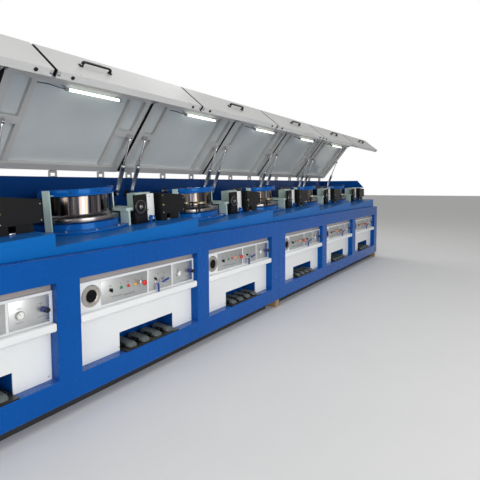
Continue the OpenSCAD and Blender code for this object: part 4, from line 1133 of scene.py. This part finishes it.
def bulged_sheet(low, high, z, bulge, thick=0.0015, steps=16):
    """A sheet whose face sags by bulge (1 - u^2)(1 - v^2), as a closed shell: the rings go from one
    long edge over the sagging face to the other, and back above it."""
    u = np.linspace(-1, 1, steps)
    sag = bulge * (1 - u[:, None] ** 2) * (1 - u[None, :] ** 2)
    x = (low[0] + high[0]) / 2 + u * (high[0] - low[0]) / 2
    y = front + (low[1] + high[1]) / 2 + u * (high[1] - low[1]) / 2
    xx, yy = np.meshgrid(x, y, indexing="ij")
    under = np.stack([xx, yy, z - sag], -1)
    above = np.stack([xx, yy, np.full_like(xx, z + thick)], -1)[:, ::-1]
    return loft(np.concatenate([under, above], axis=1))


# %% Linings, seals and clips
lining_span = (lid_bend + 0.100, lid_rear - rail_w)
lining_z = lid_top - 0.0078
seam = [(lid_rear - 0.010, 1.6965), (lid_bend + 0.002, 1.6965), (0.0305, 1.443), (0.0305, lip_low + 0.006)]
for i in range(bays):
    body = f"lid_{i + 1}"
    left, right = bay_left[i] + lid_gap, bay_left[i] + bay_pitch - lid_gap
    ribs = (bay_left[i] + rib_x, bay_left[i] + bay_pitch - rib_x)
    fields = [(left + rail_w, ribs[0] - rib_w / 2), (ribs[0] + rib_w / 2, ribs[1] - rib_w / 2),
              (ribs[1] + rib_w / 2, right - rail_w)]
    linings = [bulged_sheet((a, lining_span[0]), (b, lining_span[1]), lining_z, 0.0022) for a, b in fields]
    make_piece(f"lid_{i + 1}_lining", [opened(sheet) for sheet in linings], body, lining_painted_light)
    seals = []
    for x in (left - 0.0005, right + 0.0005):
        path = rounded_path([(x, front + y, z) for y, z in seam], 0.030)
        seals.append(opened(swept(path, soft_rectangle(0.0520, 0.0120, 0.002), (1, 0, 0))))
    make_piece(f"lid_{i + 1}_seals", seals, body, rubber_black)
    clips = []
    for x in (left + 0.012, right - 0.012):
        low, high = (x - 0.011, front + 0.012, lip_low - 0.003), (x + 0.011, front + 0.040, lip_low + 0.001)
        clips.append(opened(block(low, high, 0.001)))
        clips.append(opened(cap_screw((x, front + 0.026, lip_low - 0.003), (0, 0, -1), 0.005, 0.003)))
    make_piece(f"lid_{i + 1}_clips", clips, body, bolt_steel)
print("lid linings and seals:", bays)

# %% Handles, lamps and buffers
handle_shift = (-0.346, -0.346, 0, 0, 0, 0)
handle_z = (lip_top + lip_low) / 2
handle_y = front + lip_out
grip_len, grip_out, foot_t = 0.250, 0.045, 0.012
lamp_x, lamp_len, lamp_depth, lamp_z = 0.512, 0.590, 0.370, 1.650
lamp_y = front + lamp_depth
lead_z = lid_top - 0.0105
tube_profile = [(0.009, 0.018), (0.0125, 0.020), (0.0130, 0.024), (0.0130, lamp_len - 0.024),
                (0.0125, lamp_len - 0.020), (0.009, lamp_len - 0.018)]
cap_profile = [(0.0085, 0), (0.0085, 0.003), (0.006, 0.005), (0.002, 0.0052)]
buffer_profile = [(0.0130, 0), (0.0130, 0.005), (0.0105, 0.0078), (0.004, 0.0079)]


def bridge_handle(x):
    """A flat bar that rises from one foot, runs level and drops to the other foot."""
    half, out = grip_len / 2, handle_y - grip_out + 0.008
    corners = [(x - half, handle_y, handle_z), (x - half + 0.006, out, handle_z),
               (x + half - 0.006, out, handle_z), (x + half, handle_y, handle_z)]
    return swept(rounded_path(corners, 0.014), oval(0.014, 0.026, 16), (0, 0, 1))


def lamp_mounts(start):
    """Two end sockets round the tube and two feet that hold them on the lid."""
    shapes = []
    for a, b, r in ((0.0, 0.030, 0.0165), (lamp_len - 0.026, lamp_len, 0.0150)):
        socket = [(r - 0.003, 0), (r, 0.002), (r, b - a - 0.002), (r - 0.003, b - a)]
        shapes.append(turned(socket, (start + a, lamp_y, lamp_z), (1, 0, 0), 24))
    for a in (0.008, lamp_len - 0.018):
        low = (start + a, lamp_y - 0.012, lamp_z + 0.010)
        high = (start + a + 0.012, lamp_y + 0.012, lid_top - 0.0063)
        shapes.append(block(low, high, 0.002))
    return shapes


def lamp_lead(start, end):
    """The lamp's lead: a rounded path from the socket up to the lining and along it to the rib."""
    corners = [(start + 0.002, lamp_y, lamp_z), (start - 0.030, lamp_y + 0.002, lamp_z + 0.004),
               (start - 0.075, lamp_y + 0.010, lamp_z + 0.040), (start - 0.110, lamp_y + 0.014, lead_z),
               (end, lamp_y + 0.020, lead_z)]
    return swept(rounded_path(corners, 0.018), oval(0.0065, 0.0065, 10), (0, 1, 0))


for i in range(bays):
    body = f"lid_{i + 1}"
    x = bay_mid[i] + handle_shift[i]
    grip, caps = [bridge_handle(x)], []
    for side in (-1, 1):
        foot = x + side * (grip_len / 2 + 0.002)
        low = (foot - 0.016, handle_y - foot_t, handle_z - 0.017)
        high = (foot + 0.012, handle_y, handle_z + 0.017)
        grip.append(block(low, high, 0.005, 3))
        caps.append(turned(cap_profile, (foot - side * 0.002, handle_y - foot_t, handle_z), front_axis, 20))
    make_piece(f"lid_{i + 1}_handle", [opened(g) for g in grip], body, plastic_black,
               [f"lid_fittings_{i + 1}"])
    make_piece(f"lid_{i + 1}_handle_caps", [opened(c) for c in caps], body, bolt_steel)
    start = bay_left[i] + lamp_x
    tube = turned(tube_profile, (start, lamp_y, lamp_z), (1, 0, 0), 24)
    make_piece(f"lid_{i + 1}_lamp", [opened(tube)], body, lamp_glow)
    mounts = [opened(m) for m in lamp_mounts(start)]
    make_piece(f"lid_{i + 1}_lamp_mounts", mounts, body, tube_alloy)
    buffers = [lamp_lead(start, bay_left[i] + rib_x + rib_w / 2 - 0.001)]
    for bx in (0.130, bay_pitch - 0.130):
        buffers.append(turned(buffer_profile, (bay_left[i] + bx, front + 0.0315, lip_low), (0, 0, -1), 24))
    make_piece(f"lid_{i + 1}_buffers", [opened(b) for b in buffers], body, rubber_black)
print("handles, lamps and buffers:", bays)

# %% [markdown]
# ## Struts
#
# Each lid is held by two struts: an alloy tube that swings on the rear wall and a bright rod
# that slides in it. Both are turned along the line between the two pivots.

# %% Struts
strut_foot_depth, strut_foot_high = 1.120, 1.465
strut_head = (-0.520, -0.060)
open_y = strut_head[0] * math.cos(lid_open) + strut_head[1] * math.sin(lid_open)
open_z = -strut_head[0] * math.sin(lid_open) + strut_head[1] * math.cos(lid_open)
strut_line = np.array([0, hinge_depth + open_y - strut_foot_depth, hinge_high + open_z - strut_foot_high])
strut_span = np.linalg.norm(strut_line)
strut_way = strut_line / strut_span
rod_len, eye_r, eye_w, strut_inset = 0.350, 0.022, 0.022, 0.104
tube_shape = [(0.0225, 0.030), (0.0245, 0.033), (0.0245, 0.060), (0.0235, 0.062), (0.0235, 0.300),
              (0.0245, 0.302), (0.0250, 0.306), (0.0250, 0.324), (0.0230, 0.329), (0.0150, 0.330),
              (0.0145, 0.326)]
tube_neck = [(0.0110, 0.012), (0.0110, 0.031)]
gland_shape = [(0.0140, 0.327), (0.0140, 0.334), (0.0115, 0.337), (0.0100, 0.3375)]
rod_shape = [(0.0080, -rod_len), (0.0090, -rod_len + 0.001), (0.0090, -0.050), (0.0115, -0.048),
             (0.0115, -0.020), (0.0090, -0.016)]
pin_shape = [(0.0080, -0.014), (0.0110, -0.0135), (0.0110, 0.0135), (0.0080, 0.014)]


def eye(place, r, w):
    """A rod end: a short turned boss across the line."""
    return turned([(r * 0.55, -w / 2), (r * 0.92, -w / 2), (r, -w / 2 + 0.002), (r, w / 2 - 0.002),
                   (r * 0.92, w / 2), (r * 0.55, w / 2)], place, (1, 0, 0), 28)


for i in range(bays):
    tubes, glands, rods = [], [], []
    for x in (bay_left[i] + strut_inset, bay_left[i] + bay_pitch - strut_inset):
        foot = np.array([x, front + strut_foot_depth, strut_foot_high])
        head = foot + strut_line
        tubes.append(turned(tube_shape, foot, strut_way, 36))
        tubes.append(eye(foot, eye_r, eye_w))
        tubes.append(turned(tube_neck, foot, strut_way, 20))
        glands.append(turned(gland_shape, foot, strut_way, 24))
        rods.append(turned(rod_shape, head, strut_way, 24))
        rods.append(eye(head, eye_r, eye_w))
        rods.append(turned(pin_shape, head, (1, 0, 0), 20))
    cylinders, pistons = f"strut_cylinders_{i + 1}", f"strut_rods_{i + 1}"
    make_piece(f"strut_tubes_{i + 1}", tubes, cylinders, tube_alloy, [cylinders])
    make_piece(f"strut_glands_{i + 1}", glands, cylinders, plastic_black)
    make_piece(f"strut_pistons_{i + 1}", rods, pistons, rod_steel, [pistons])
print("struts:", 2 * bays, "length", round(float(strut_span), 4))
